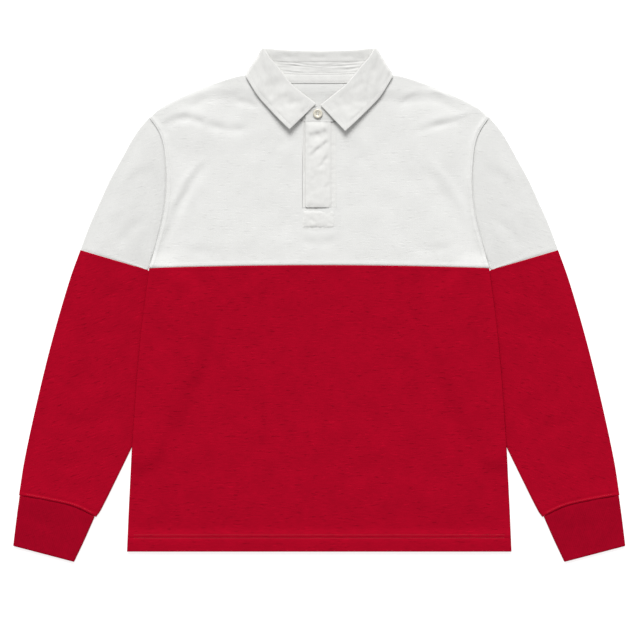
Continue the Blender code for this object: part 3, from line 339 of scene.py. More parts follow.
def sunk_by(creases, x, y, lip=0.4, slope=1.0):
    """How far creases sink the cloth. Each trough has a low lip along its left-hand side, and
    its other side is wider by the slope."""
    total = np.zeros(np.broadcast(x, y).shape)
    for number, (points, half_width, depth) in enumerate(creases):
        chain = along(np.reshape(points, (-1, 2)), 60)(np.linspace(0, 1, 18))
        nearest, signed, share = np.full(total.shape, 1e9), total * 0, total * 0
        for k, run in enumerate(np.diff(chain, axis=0)):
            from_x, from_y = x - chain[k][0], y - chain[k][1]
            t = np.clip((from_x * run[0] + from_y * run[1]) / np.dot(run, run), 0, 1)
            gap_x, gap_y = from_x - t * run[0], from_y - t * run[1]
            gap = np.hypot(gap_x, gap_y)
            closer = gap < nearest
            nearest = np.where(closer, gap, nearest)
            signed = np.where(closer, np.sign(run[0] * gap_y - run[1] * gap_x) * gap, signed)
            share = np.where(closer, (k + t) / (len(chain) - 1), share)
        swell = np.sin(math.pi * share) ** 0.7 * (1 + 0.28 * np.sin(16 * share + 1.9 * number))
        width = half_width * np.where(signed > 0, 1.0, slope)
        profile = hump(signed, width) - lip * hump(signed - 1.8 * half_width, 1.3 * half_width)
        total += depth * swell * profile
    return bpy.context.scene.shirt_cloth.crease_depth * total


def pucker(run, away, reach, height):
    """Small uneven ripples beside a seam; run is the place along it, away the distance from it."""
    ripple = np.sin(run / 1.13) + 0.8 * np.sin(run / 1.71 + 1.3) + 0.9 * np.sin(run / 2.9 + 0.4)
    return height * ripple / 1.6 * hump(away, reach)


# ---- heights of the layers ----
body_side_x = smooth_curve(BODY_SIDE)
armhole_x = smooth_curve(ARMHOLE)
shoulder_y = smooth_curve(SHOULDER)
neck_back_y = smooth_curve(NECK_BACK)
sleeve_out_x = smooth_curve(SLEEVE_OUT)
sleeve_in_x = smooth_curve(SLEEVE_IN)
collar_front = [smooth_curve(COLLAR_FRONT, column) for column in range(1, 11)]
collar_back = [smooth_curve(COLLAR_BACK, column) for column in range(1, 4)]


def body_edge(y):
    return np.where(y < BLOCK_SEAM_SIDE, body_side_x(y), armhole_x(y))


def colour_seam_y(x):
    return BLOCK_SEAM_MID + (BLOCK_SEAM_SIDE - BLOCK_SEAM_MID) * (np.abs(x) / ARMPIT_X) ** 2


def on_fold(x, y):
    """Rises from 0 to 1 towards the sleeve's fold, where that lies tucked under the body."""
    return ease((np.abs(x) - sleeve_in_x(y) + 62) / 32)


def back_height(x, y):
    """Middle of the back panels: flat on the surface but for what lies under them."""
    over_sleeve = on_fold(x, y) * ease((78 - y) / 22) * ease((y + 250) / 30)
    over_fall = ease((y - 296) / 20) * ease((165 - np.abs(x)) / 50)
    return JERSEY / 2 + WEDGE_LIFT * over_sleeve + FALL_LIFT * over_fall


def back_cloth_height(x, y):
    """The back with shallow creases, kept flat on the surface underneath."""
    lifted = back_height(x, y)
    return lifted - np.minimum(sunk_by(BACK_CREASES, x, y), lifted - JERSEY / 2)


def front_loft(x, y):
    """Air between the back and the front."""
    from_side = np.maximum(body_edge(y) - np.abs(x), 0.0)
    from_shoulder = np.maximum(shoulder_y(np.abs(x)) - y, 0.0)
    loft = (SEAM_LOFT + BODY_LOFT * ease(from_side / 60)) * ease(from_shoulder / 60)
    loft = loft * (0.4 + 0.6 * ease((y - HEM_Y - HEM_DEPTH) / 60))
    return loft + HEM_LIFT * ease((HEM_Y + HEM_DEPTH + 10 - y) / 9)


def front_form(x, y):
    """Middle of the front panels without creases."""
    return back_height(x, y) + LAYER_PITCH + front_loft(x, y)


def front_height(x, y):
    """Middle of the front panels with creases and uneven air under them."""
    loft = front_loft(x, y)
    open_air = ease((body_edge(y) - np.abs(x)) / 25) * ease((y - HEM_Y - 30) / 40)
    waves = 0.34 * undulation(x, y, 11, 95) + 0.17 * undulation(x, y, 12, 42)
    sunk = sunk_by(FRONT_CREASES, x, y) + sunk_by(FRONT_LOWER_CREASES, x, y) - waves * open_air
    spread_out = ease((98 - y) / 66) - ease((78 - y) / 22)
    over_sleeve = on_fold(x, y) * ease((body_edge(y) - np.abs(x)) / 26)
    return (back_height(x, y) + LAYER_PITCH + loft - np.minimum(sunk, 0.85 * loft)
            + 0.6 * WEDGE_LIFT * spread_out * over_sleeve)


def sleeve_height(x, y):
    """Middle of a sleeve's upper layer; its under layer lies on the surface."""
    x = np.abs(x)
    loft = (SEAM_LOFT * ease((y - BLOCK_SEAM_SIDE) / 25)
            + SLEEVE_LOFT * ease((x - body_edge(y) - 4) / 42)) * ease((sleeve_out_x(y) - x) / 30)
    near_cuff = ease((-235 - y) / 45)
    loft = loft * (1 - near_cuff) + CUFF_LIFT * near_cuff
    waves = 0.2 * undulation(x, y, 21, 80) + 0.08 * undulation(x, y, 22, 36)
    inside = (ease((sleeve_out_x(y) - x) / 25) * ease((y + 300) / 30)
              * ease((x - body_edge(y) - 6) / 20))
    sunk = (sunk_by(SLEEVE_CREASES, x, y) - waves) * inside
    return JERSEY / 2 + LAYER_PITCH + loft - np.minimum(sunk, 0.85 * loft)


def cuff_height(x, y):
    return np.full(np.shape(x), RIB / 2 + RIB_PITCH)


# ---- reliefs beside seams, added to the heights ----
def hem_relief(run, from_hem):
    """Hem: two sewn grooves, small ripples between them, a roll at the edge and, above the
    sewing, a step down to the single cloth."""
    first, second = HEM_ROWS
    grooves = 0.60 * hump(from_hem - first, 1.3) + 0.12 * hump(from_hem - second, 1.1)
    step = 0.42 * (1 - ease((from_hem - HEM_DEPTH) / 3.0))
    ripples = pucker(run, from_hem - 21.0, 6.0, 0.13)
    return 0.25 * hump(from_hem - 11, 7.0) + ripples + step - grooves


def seam_relief(run, from_seam):
    """Plain seam: the cloth rolls down into it, over a low welt of seam allowance."""
    welt = 0.30 * hump(from_seam - 3.0, 2.6)
    return welt + pucker(run, from_seam, 4.0, 0.08) - 0.35 * hump(from_seam, 0.8)


def band_relief(run, from_seam):
    """Lapped seam: a raised band with two sewn grooves."""
    band = 1.5 * ease((from_seam + 0.4) / 1.2) * (1 - ease((from_seam - 3.4) / 7.0))
    grooves = 0.3 * (hump(from_seam - ARMHOLE_ROWS[0], 0.6) + hump(from_seam - BAND_WIDTH, 0.8))
    return band + pucker(run, from_seam - 4.0, 6.0, 0.10) - grooves


def box_relief(x, y):
    """Drawn-in cloth round the stitched box under the placket."""
    out_x = np.maximum(np.abs(x) - BOX_HALF, 0)
    out_y = np.maximum(np.maximum(BOX_FOOT - y, y - BOX_TOP), 0)
    away = np.hypot(out_x, out_y)
    around = np.where(out_x > out_y, y, x)
    inside = (np.abs(x) < BOX_HALF) & (y > BOX_FOOT) & (y < BOX_TOP)
    dent = -0.35 * hump(away - 1.0, 2.0) + pucker(around * 1.3, away - 2.5, 5.0, 0.16)
    return np.where(inside, 0.0, dent) * ease((SLIT_FOOT + 2 - y) / 3)


def sleeve_upper_relief(u, v, x, y):
    """Dip beside the lapped armhole seam, and the roll into the colour seam."""
    from_arm = v * UPPER_REACH * 2 * np.maximum(u, 0.25)
    dip = ((0.75 + 0.5 * hump(y - 172, 65)) * hump(from_arm - 0.6, 2.2)
           + 0.45 * hump(from_arm - 3, 6.0) - 0.3 * hump(from_arm - 15, 7.0))
    return seam_relief(x, (1 - v) * UPPER_REACH) - dip + pucker(y, from_arm - 6, 5.0, 0.12)


def sleeve_lower_relief(u, v, x, y):
    """Roll into the colour seam, and the gathered ridge over the cuff's seam."""
    from_cuff = (1 - v) * LOWER_LENGTH
    ridge = (1.7 * hump(from_cuff - 2.0, 1.6) - 0.6 * hump(from_cuff - 4.9, 1.2)
             + 0.35 * hump(from_cuff - 8, 4.0))
    return seam_relief(x, v * LOWER_LENGTH) + ridge + pucker(x * 0.8, from_cuff - 5, 7.0, 0.16)


def cuff_relief(u, v, x, y):
    """Dip at the seam, a swell behind it and a roll at the opening."""
    from_seam, from_hem = v * CUFF_LENGTH, (1 - v) * CUFF_LENGTH
    return (0.16 * undulation(x, y, 41, 30) - 0.5 * hump(from_seam, 1.6)
            + 0.3 * hump(from_seam - 6, 4.5) + 0.25 * hump(from_hem - 3, 2.6))


# ---- cloth pieces ----
def grid_normals(grid, ring=False):
    """Unit normals of a grid of points; with ring, its second direction closes on itself."""
    if ring:
        along_columns = (np.roll(grid, -1, axis=1) - np.roll(grid, 1, axis=1)) / 2
    else:
        along_columns = np.gradient(grid, axis=1)
    return unit(np.cross(along_columns, np.gradient(grid, axis=0)))


def upward_normals(grid):
    normals = grid_normals(grid)
    return normals * np.sign(np.mean(normals[..., 2]))


def rounding(distance, half, least=0.12):
    """Share of the wall's thickness left at a distance from a soft, rolled edge."""
    inside = np.clip(distance / half, 0.0, 1.0)
    return np.maximum(np.sqrt(1 - (1 - inside) ** 2), least)


def plan_place(grid, turn=0.0):
    """Where each point lies on the cloth, in metres, its grain turned by an angle in degrees."""
    angle = math.radians(turn)
    x, y = grid[..., 0] * MM, grid[..., 1] * MM
    return np.stack([x * math.cos(angle) - y * math.sin(angle),
                     x * math.sin(angle) + y * math.cos(angle)], axis=-1)


def collar_place(grid):
    """Place on the flat cloth: along the collar and across it."""
    middle = travelled(grid, 0)[:, [grid.shape[1] // 2]]
    return np.stack([np.broadcast_to(middle, grid.shape[:2]), travelled(grid, 1)], axis=-1) * MM


def link_object(name, mesh):
    obj = bpy.data.objects.new(name, mesh)
    bpy.context.scene.collection.objects.link(obj)
    return obj


def make_object(name, points, faces, place, material):
    """Mesh object from points in millimetres; place is each point's spot on the flat cloth."""
    a, b, c, d = points[faces].transpose(1, 0, 2)
    if np.sum(a * (np.cross(b, c) + np.cross(c, d))) < 0:   # the faces would look inwards
        faces = faces[:, ::-1]
    mesh = bpy.data.meshes.new(name)
    mesh.from_pydata((points * MM).tolist(), [], faces.tolist())
    layer = mesh.uv_layers.new(name="cloth")
    loops = np.empty(len(mesh.loops), int)
    mesh.loops.foreach_get("vertex_index", loops)
    layer.data.foreach_set("uv", place[loops].astype(np.float32).ravel())
    mesh.materials.append(material)
    mesh.shade_smooth()
    mesh.set_sharp_from_angle(angle=math.radians(55))
    obj = link_object(name, mesh)
    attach(obj, BODY)
    return obj


def shell(name, grid, normals, outer, inner, place, material, ring=False, cells=None):
    """Closed cloth wall about a grid of points. outer and inner are the distances to its two
    faces, cells says which of the grid's cells hold cloth, ring closes it round on itself."""
    rows, columns = grid.shape[:2]
    points = np.concatenate([on_top(grid, normals, outer).reshape(-1, 3),
                             on_top(grid, -normals, inner).reshape(-1, 3)])
    index = np.arange(rows * columns).reshape(rows, columns)
    beside = np.roll(index, -1, axis=1)
    quads = np.stack([index[:-1], beside[:-1], beside[1:], index[1:]], axis=-1)
    if not ring:
        quads = quads[:, :-1]
    quads = quads.reshape(-1, 4) if cells is None else quads[cells]
    edges = np.concatenate([quads[:, [k, (k + 1) % 4]] for k in range(4)])
    codes = edges[:, 0] * len(points) + edges[:, 1]
    rim = edges[~np.isin(codes, edges[:, 1] * len(points) + edges[:, 0])]
    under = rim + rows * columns
    sides = np.stack([rim[:, 0], under[:, 0], under[:, 1], rim[:, 1]], axis=-1)
    faces = np.concatenate([quads, quads[:, ::-1] + rows * columns, sides])
    used, flat = np.unique(faces, return_inverse=True)
    spots = np.concatenate([place.reshape(-1, 2)] * 2)
    return make_object(name, points[used], flat.reshape(-1, 4), spots[used], material)


def on_top(grid, normals, outer):
    """Points of a piece's outer face."""
    return grid + normals * np.broadcast_to(outer, grid.shape[:2])[..., None]


def finish_cloth(obj, node, slot, sewing=None, seams=()):
    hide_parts(node)
    sewn = [stitches(sewing, seams, slot)] if sewing else []


# ---- stitches ----
THREAD_SIDES = 6
THREAD_TURNS = (np.arange(THREAD_SIDES) * FULL_TURN / THREAD_SIDES)[:, None]
STITCH_AT = np.array((-0.5, -0.28, 0.28, 0.5))      # rings of points along a stitch
STITCH_SIZE = np.array((0.45, 1.0, 1.0, 0.45))
STITCH_LIFT = np.array((-0.5, 0.3, 0.3, -0.5))


def ring_walls(index):
    """Faces between rings of points, from the number of the point at each ring and turn."""
    beside = np.roll(index, -1, axis=-1)
    return np.stack([index[..., :-1, :], index[..., 1:, :], beside[..., 1:, :],
                     beside[..., :-1, :]], axis=-1).reshape(-1, 4)


def thread_object(name, rods, slot):
    """Mesh object of short lengths of thread; rods holds points by length, ring and turn."""
    points = rods.reshape(-1, 3)
    index = np.arange(len(points)).reshape(rods.shape[:3])
    caps = [ring[:, half][:, ::order] for ring, order in ((index[:, 0], 1), (index[:, -1], -1))
            for half in ([0, 1, 2, 3], [0, 3, 4, 5])]
    thread = red_thread() if slot == "red_jersey" else white_thread()
    obj = make_object(name, points, np.concatenate([ring_walls(index)] + caps),
                      plan_place(points), thread)
    return obj


def stitches(name, seams, slot):
    """Separate stitches along seams; each seam is a chain of points and their normals."""
    sewing = bpy.context.scene.shirt_sewing
    pitch, length, radius = (value / MM for value in (sewing.pitch, sewing.length, sewing.radius))
    rods = []
    for seam in seams:
        run = travelled(seam[0])
        at = np.arange(pitch / 2, run[-1] - pitch / 2, pitch)[:, None] + STITCH_AT * length
        centre, up = (np.stack([np.interp(at, run, rows[:, k]) for k in range(3)], axis=-1)
                      for rows in seam)
        up = unit(up)
        ahead = unit(np.broadcast_to((centre[:, -1] - centre[:, 0])[:, None], centre.shape))
        aside = unit(np.cross(ahead, up))
        centre = centre + up * (STITCH_LIFT * radius)[:, None]
        around = (np.cos(THREAD_TURNS) * aside[:, :, None]
                  + 0.8 * np.sin(THREAD_TURNS) * up[:, :, None])
        rods.append(centre[:, :, None] + (STITCH_SIZE * radius)[:, None, None] * around)
    return thread_object(name, np.concatenate(rods), slot)


# ---- materials ----
class Wire:
    """A socket's value in a shader tree; arithmetic with it adds the math nodes it needs."""
    def __init__(self, socket):
        self.socket, self.tree = socket, socket.id_data

    def math(self, operation, *other):
        return add_node(self.tree, "Math", enumerate((self, *other)), operation=operation)[0]

    def __add__(self, other):
        return self.math("ADD", other)

    def __sub__(self, other):
        return self.math("SUBTRACT", other)

    def __mul__(self, other):
        return self.math("MULTIPLY", other)

    def __truediv__(self, other):
        return self.math("DIVIDE", other)

    def spread(self, low, high, to_low=0.0, to_high=1.0):
        """Stretches the values between low and high over those between to_low and to_high."""
        return add_node(self.tree, "MapRange", {
            "Value": self, "From Min": low, "From Max": high, "To Min": to_low,
            "To Max": to_high})[0]

    def scaled(self, factor):
        return add_node(self.tree, "VectorMath", {0: self, "Scale": factor}, operation="SCALE")[0]


def feed(node, inputs):
    """Sets a node's inputs, by name or number, to values, or links them to wires."""
    for key, value in dict(inputs).items():
        if isinstance(value, Wire):
            value.tree.links.new(value.socket, node.inputs[key])
        else:
            node.inputs[key].default_value = value


def add_node(tree, kind, inputs=(), **settings):
    """Adds a shader node with its settings and inputs, and gives a wire for each output."""
    node = tree.nodes.new("ShaderNode" + kind)
    for name, value in settings.items():
        setattr(node, name, value)
    feed(node, inputs)
    return [Wire(socket) for socket in node.outputs]


def stretched_noise(place, wide, high, detail, roughness=0.55):
    """Noise whose grains are as wide and as high as the two sizes, which may be wires."""
    x, y, _ = add_node(place.tree, "SeparateXYZ", {0: place})
    vector = add_node(place.tree, "CombineXYZ", {0: x / wide, 1: y / high})[0]
    return add_node(place.tree, "TexNoise", {
        "Vector": vector, "Scale": 1.0, "Detail": detail, "Roughness": roughness})[0]


def mix_colour(factor, first, second, **settings):
    """Mixes two colours; each value may be a wire."""
    tree = next(value.tree for value in (factor, first) if isinstance(value, Wire))
    return add_node(tree, "Mix", {"Factor": factor, 6: first, 7: second}, data_type="RGBA",
                    **settings)[2]


def shade(colour, factor):
    return (*[min(channel * factor, 1.0) for channel in colour], 1.0)


RIB_LOOP = 0.0010       # height of the rib's loops, in metres
FINE_THREAD = 0.0004    # pitch of the finest threads, in metres


def knit_loops(place, width, height):
    """Columns of V-shaped loops, as on the right side of jersey."""
    x, y, _ = add_node(place.tree, "SeparateXYZ", {0: place})
    leg = ((x / width).math("FRACT") - 0.5).math("ABSOLUTE")
    swell = ((y / height + leg * 1.3) * FULL_TURN).math("COSINE")
    return [(leg * FULL_TURN).math("SINE") * (swell * 0.3 + 0.7)]


def raised_ribs(place, width):
    """Raised ribs that run up the cloth, with fine loops across them."""
    x, y, _ = add_node(place.tree, "SeparateXYZ", {0: place})
    rib = (x / width * FULL_TURN).math("SINE")
    return [rib + (y * (FULL_TURN / RIB_LOOP)).math("SINE") * 0.15]


def slanting_ridges(place, pitch):
    """Slanting ridges of a cotton twill."""
    x, y, _ = add_node(place.tree, "SeparateXYZ", {0: place})
    ridge = ((x + y * 0.6) / pitch * FULL_TURN).math("SINE")
    return [ridge + (y * (FULL_TURN / FINE_THREAD)).math("SINE") * 0.3]


def uneven_yarn(place, length, height, blotch):
    """Short streaks across the cloth, soft blotches, single fibres and, here and there, slubs
    and thin places in the yarn."""
    slubs = stretched_noise(place, 0.0125, 0.0026, 2.0)
    patches = stretched_noise(place, 0.05, 0.018, 2.0).spread(0.32, 0.52)
    return (stretched_noise(place, length, height, 3.0, 0.6),
            stretched_noise(place, blotch, blotch, 2.0),
            stretched_noise(place, 0.0028, 0.00035, 1.0).spread(0.62, 0.73),
            slubs.spread(0.60, 0.71) * patches, slubs.spread(0.40, 0.29) * patches)


GROUPS = {  # name: its inputs with their defaults, its outputs and what it does
    "Knit loops": ({"Loop Width": 0.0011, "Loop Height": 0.0009}, ["Height"], knit_loops),
    "Rib knit": ({"Rib Width": 0.0026}, ["Height"], raised_ribs),
    "Twill weave": ({"Ridge Pitch": 0.0009}, ["Height"], slanting_ridges),
    "Uneven yarn": ({"Streak Length": 0.011, "Streak Height": 0.0019, "Blotch Size": 0.03},
                    ["Streaks", "Blotches", "Fibres", "Slubs", "Thin Yarn"], uneven_yarn)}


def shader_group(name):
    """Shader node group with named sockets, built once. Its first input is the place on the
    cloth; its work takes the wires of the inputs and gives a wire for each output."""
    if name in bpy.data.node_groups:
        return bpy.data.node_groups[name]
    inputs, outputs, work = GROUPS[name]
    group = bpy.data.node_groups.new(name, "ShaderNodeTree")
    group.interface.new_socket("Place", in_out="INPUT", socket_type="NodeSocketVector")
    for label, default in inputs.items():
        group.interface.new_socket(
            label, in_out="INPUT", socket_type="NodeSocketFloat").default_value = default
    for label in outputs:
        group.interface.new_socket(label, in_out="OUTPUT", socket_type="NodeSocketFloat")
    source = group.nodes.new("NodeGroupInput")
    results = work(*(Wire(source.outputs[label]) for label in ("Place", *inputs)))
    feed(group.nodes.new("NodeGroupOutput"), zip(outputs, results))
    return group


def use_group(name, place, values=None):
    """Adds a node group at a place on the cloth, and gives a wire for each output."""
    return add_node(place.tree, "Group", {"Place": place, **(values or {})},
                    node_tree=shader_group(name))


def new_material(name):
    """New material, its node tree and its shader."""
    mat = bpy.data.materials.new(name)
    mat.use_nodes = True
    return mat, mat.node_tree, mat.node_tree.nodes["Principled BSDF"]


def cloth_place(tree):
    """Place on the flat cloth."""
    return add_node(tree, "UVMap", uv_map="cloth")[0]


def cloth_material(name, colour, weave, weave_values, bump, streak, blotch, fibre=0.0, fleck=0.0,
                   slub_lift=0.0, yarn_values=None, sheen=0.1, gloss=0.25):
    """Cloth: its weave raised by bump metres, and streaks, blotches, fibres and slubs that vary
    its colour by the given shares."""
    if name in bpy.data.materials:
        return bpy.data.materials[name]
    mat, tree, shader = new_material(name)
    place = cloth_place(tree)
    streaks, blotches, fibres, slubs, thin = use_group("Uneven yarn", place, yarn_values)
    height = use_group(weave, place, weave_values)[0]
    result = mix_colour(streaks.spread(0.25, 0.75), shade(colour, 1 - streak),
                        shade(colour, 1 + streak))
    tint = mix_colour(blotches.spread(0.3, 0.7), shade((1, 1, 1), 1 - blotch), (1, 1, 1, 1))
    result = mix_colour(1.0, result, tint, blend_type="MULTIPLY")
    if fleck:
        result = mix_colour(slubs, result, result.scaled(1 - fleck))
        result = mix_colour(thin, result, result.scaled(1 + 0.7 * fleck))
    if fibre:
        result = mix_colour(fibres * fibre, result, shade(colour, 0.55))
    normal = add_node(tree, "Bump", {
        "Strength": 0.5, "Distance": bump, "Height": height + (slubs - thin) * slub_lift})[0]
    feed(shader, {"Base Color": result, "Roughness": streaks.spread(0.0, 1.0, 0.82, 0.95),
                  "Normal": normal, "Sheen Weight": sheen, "Sheen Roughness": 0.55,
                  "Specular IOR Level": gloss})
    return mat


def thread_material(name, colour):
    """Twisted sewing thread."""
    if name in bpy.data.materials:
        return bpy.data.materials[name]
    mat, tree, shader = new_material(name)
    twist = use_group("Twill weave", cloth_place(tree), {"Ridge Pitch": FINE_THREAD})[0]
    tone = mix_colour(twist.spread(-1.0, 1.0), shade(colour, 0.9), shade(colour, 1.05))
    feed(shader, {"Base Color": tone, "Roughness": 0.6, "Sheen Weight": 0.1})
    return mat


def jersey(name, colour, **values):
    width = bpy.context.scene.shirt_cloth.loop_width
    return cloth_material(name, colour, "Knit loops",
                          {"Loop Width": width, "Loop Height": 0.8 * width}, 0.00016, **values)


def white_jersey(part="body"):
    """The sleeves get a darker copy of the body's white, a painted shade that dims them against the
    body.
    """
    colours = bpy.context.scene.shirt_colours
    tone = 1.0 if part == "body" else colours.sleeve_painted_shade
    return jersey("heather_white_knit_" + part, [c * tone for c in colours.white],
                  streak=0.02, blotch=0.035, fibre=0.12, fleck=0.075, slub_lift=1.6)


def red_jersey():
    return jersey("deep_red_knit", bpy.context.scene.shirt_colours.red, streak=0.10, blotch=0.09,
                  fleck=0.26, slub_lift=3.2, sheen=0.0, gloss=0.03)


def red_rib():
    scene = bpy.context.scene
    return cloth_material("deep_red_rib_knit", scene.shirt_colours.rib, "Rib knit",
                          {"Rib Width": scene.shirt_cloth.rib_width}, 0.00022, streak=0.08,
                          blotch=0.09, fleck=0.10, slub_lift=1.2, sheen=0.0, gloss=0.03,
                          yarn_values={"Streak Length": 0.004, "Streak Height": 0.012})


def white_twill(part="placket"):
    """The collar's twill is a shade darker than the placket's."""
    colours = bpy.context.scene.shirt_colours
    tone = 1.0 if part == "placket" else colours.collar_tone
    return cloth_material("white_cotton_twill_" + part, [c * tone for c in colours.twill],
                          "Twill weave", {}, 0.00008, streak=0.03, blotch=0.05,
                          yarn_values={"Streak Length": 0.008, "Streak Height": 0.006,
                                       "Blotch Size": 0.022})


def white_thread():
    return thread_material("white_sewing_thread", bpy.context.scene.shirt_colours.white_thread)


def red_thread():
    return thread_material("red_sewing_thread", bpy.context.scene.shirt_colours.red_thread)


def cloudy_noise(name, scale, **values):
    """New material, its shader and a noise over the object's own space."""
    mat, tree, shader = new_material(name)
    values.update(Vector=add_node(tree, "TexCoord")[3], Scale=scale)
    return mat, shader, add_node(tree, "TexNoise", values)[0]


def button_material():
    """Cream button with faint cloudy rings and a soft gloss."""
    mat, shader, noise = cloudy_noise("cream_button_resin", 260.0, Detail=3.0, Distortion=1.5)
    colour = bpy.context.scene.shirt_colours.button
    tone = mix_colour(noise.spread(0.3, 0.7), shade(colour, 0.88), shade(colour, 1.06))
    feed(shader, {"Base Color": tone, "Roughness": noise.spread(0.0, 1.0, 0.25, 0.42),
                  "Coat Weight": 0.3})
    return mat


def floor_material():
    """Pale matt floor that glows, so that it stays even under the shirt."""
    studio = bpy.context.scene.shirt_studio
    mat, shader, noise = cloudy_noise("pale_floor", 14.0)
    tone = mix_colour(noise, shade(studio.floor, 0.99), shade(studio.floor, 1.01))
    feed(shader, {"Base Color": tone, "Roughness": 0.9, "Emission Color": (1, 1, 1, 1),
                  "Emission Strength": studio.glow})
    return mat


# ---- body ----
def lower_panel(side, name, material):
    """Lower block of the front (side +1) or the back (side -1), from hem to colour seam."""
    step, columns = (3.6, 84) if side > 0 else (7.0, 42)
    levels = np.concatenate([HEM_Y + HEM_STEPS, np.arange(HEM_Y + HEM_STEPS[-1] + step,
                                                          BLOCK_SEAM_SIDE - 14, step)])[:, None]
    seam_end = BLOCK_SEAM_SIDE - SEAM_GAP

    def side_curl(edge, y):
        """The rolled side edge, which meets the other panel's in the side seam."""
        low, high = back_height(edge, y), front_form(edge, y)
        rise = (high - low) / 2 - SEAM_GAP
        return (edge - JERSEY / 2 - rise * (1 - np.cos(CURL)),
                (low + high) / 2 + side * (SEAM_GAP + rise * np.sin(CURL)))

    # level rows first, then rows that follow the colour seam, which sags towards the sides
    width = body_edge(levels)
    half_x = np.concatenate([side_curl(width, levels)[0],
                             (width - 5.5) * np.linspace(1, 0, columns)], axis=1)
    seam_x = half_x[-1] / width[-1]
    seam_y = (colour_seam_y(seam_x * body_edge(seam_end)) - SEAM_GAP
              - np.array(SEAM_STEPS[::-1])[:, None])
    width = np.concatenate([width, body_edge(np.minimum(seam_y[:, :1], seam_end))])
    x = np.concatenate([half_x, seam_x * width[len(levels):]])
    y = np.concatenate([np.broadcast_to(levels, half_x.shape), seam_y])
    curl = len(CURL)
    x[:, :curl], curl_z = side_curl(width, y[:, :1])
    x, y = np.hstack([-x[:, :-1], x[:, ::-1]]), np.hstack([y[:, :-1], y[:, ::-1]])
    z = front_height(x, y) if side > 0 else back_cloth_height(np.abs(x), y)
    z[:, :curl], z[:, -curl:] = curl_z, curl_z[:, ::-1]
    from_hem = y - HEM_Y
    from_seam = colour_seam_y(x) - SEAM_GAP - y
    if side > 0:
        from_side = body_edge(y) - np.abs(x)
        relief = hem_relief(x, from_hem) + seam_relief(x, from_seam)
        z += (relief + 0.45 * hump(from_side - 4.5, 3.2)) * ease(from_side / 4)
    grid = np.stack([x, y, z], axis=-1)
    normals = upward_normals(grid)
    for k, angle in enumerate(CURL[:-1]):
        across, up = side * math.cos(angle), math.sin(angle)
        normals[:, k], normals[:, -1 - k] = (-across, 0.0, up), (across, 0.0, up)
    round_off = rounding(from_hem, 1.1) * rounding(from_seam, JERSEY / 2)
    in_hem = 1 - ease((from_hem - HEM_DEPTH) / 0.8)
    single, doubled = JERSEY / 2 * round_off, (JERSEY / 2 + HEM_PLY * in_hem) * round_off
    outer, inner = (single, doubled) if side > 0 else (doubled, single)
    obj = shell(name, grid, normals, outer, inner, plan_place(grid), material)
    face = on_top(grid, side * normals, single)
    rows = [row_near(levels, HEM_Y + d) for d in HEM_ROWS]
    shown = slice(curl + 1, -curl - 1)
    return obj, [(face[r, shown], side * normals[r, shown]) for r in rows]


def upper_plan(side):
    """Plan of the right half of an upper block: u runs from its inner edge to the armhole, v
    from the colour seam to the shoulder."""
    armhole_y = np.linspace(BLOCK_SEAM_SIDE, SHOULDER_TIP[1], 40)
    armhole = along([(armhole_x(y) - SEAM_GAP, y) for y in armhole_y])
    shoulder = [(x, shoulder_y(x)) for x in np.linspace(NECK_POINT[0], ARMPIT_X, 30)]
    if side > 0:
        slit_y = np.linspace(colour_seam_y(SLIT_HALF) + SEAM_GAP, STAND_FOOT - 6, 12)
        neck = [(x + 3 * SEAM_GAP, y - 3 * SEAM_GAP) for x, y in NECK_FRONT]
        inner_edge = along([(SLIT_HALF, y) for y in (*slit_y, STAND_FOOT + 0.7)] + neck
                           + [NECK_POINT])
    else:
        inner_edge = along([(0, y) for y in (58, 120, 180, 240, 300, 337.7)])
        shoulder = [(x, y - SEAM_GAP) for x, y in NECK_BACK[:-1]] + shoulder
    seam_x = np.linspace(SLIT_HALF if side > 0 else 0.0, ARMPIT_X - SEAM_GAP, 12)
    bottom = along([(x, colour_seam_y(x) + SEAM_GAP) for x in seam_x])
    return patch(inner_edge, armhole, bottom, along(shoulder)), inner_edge


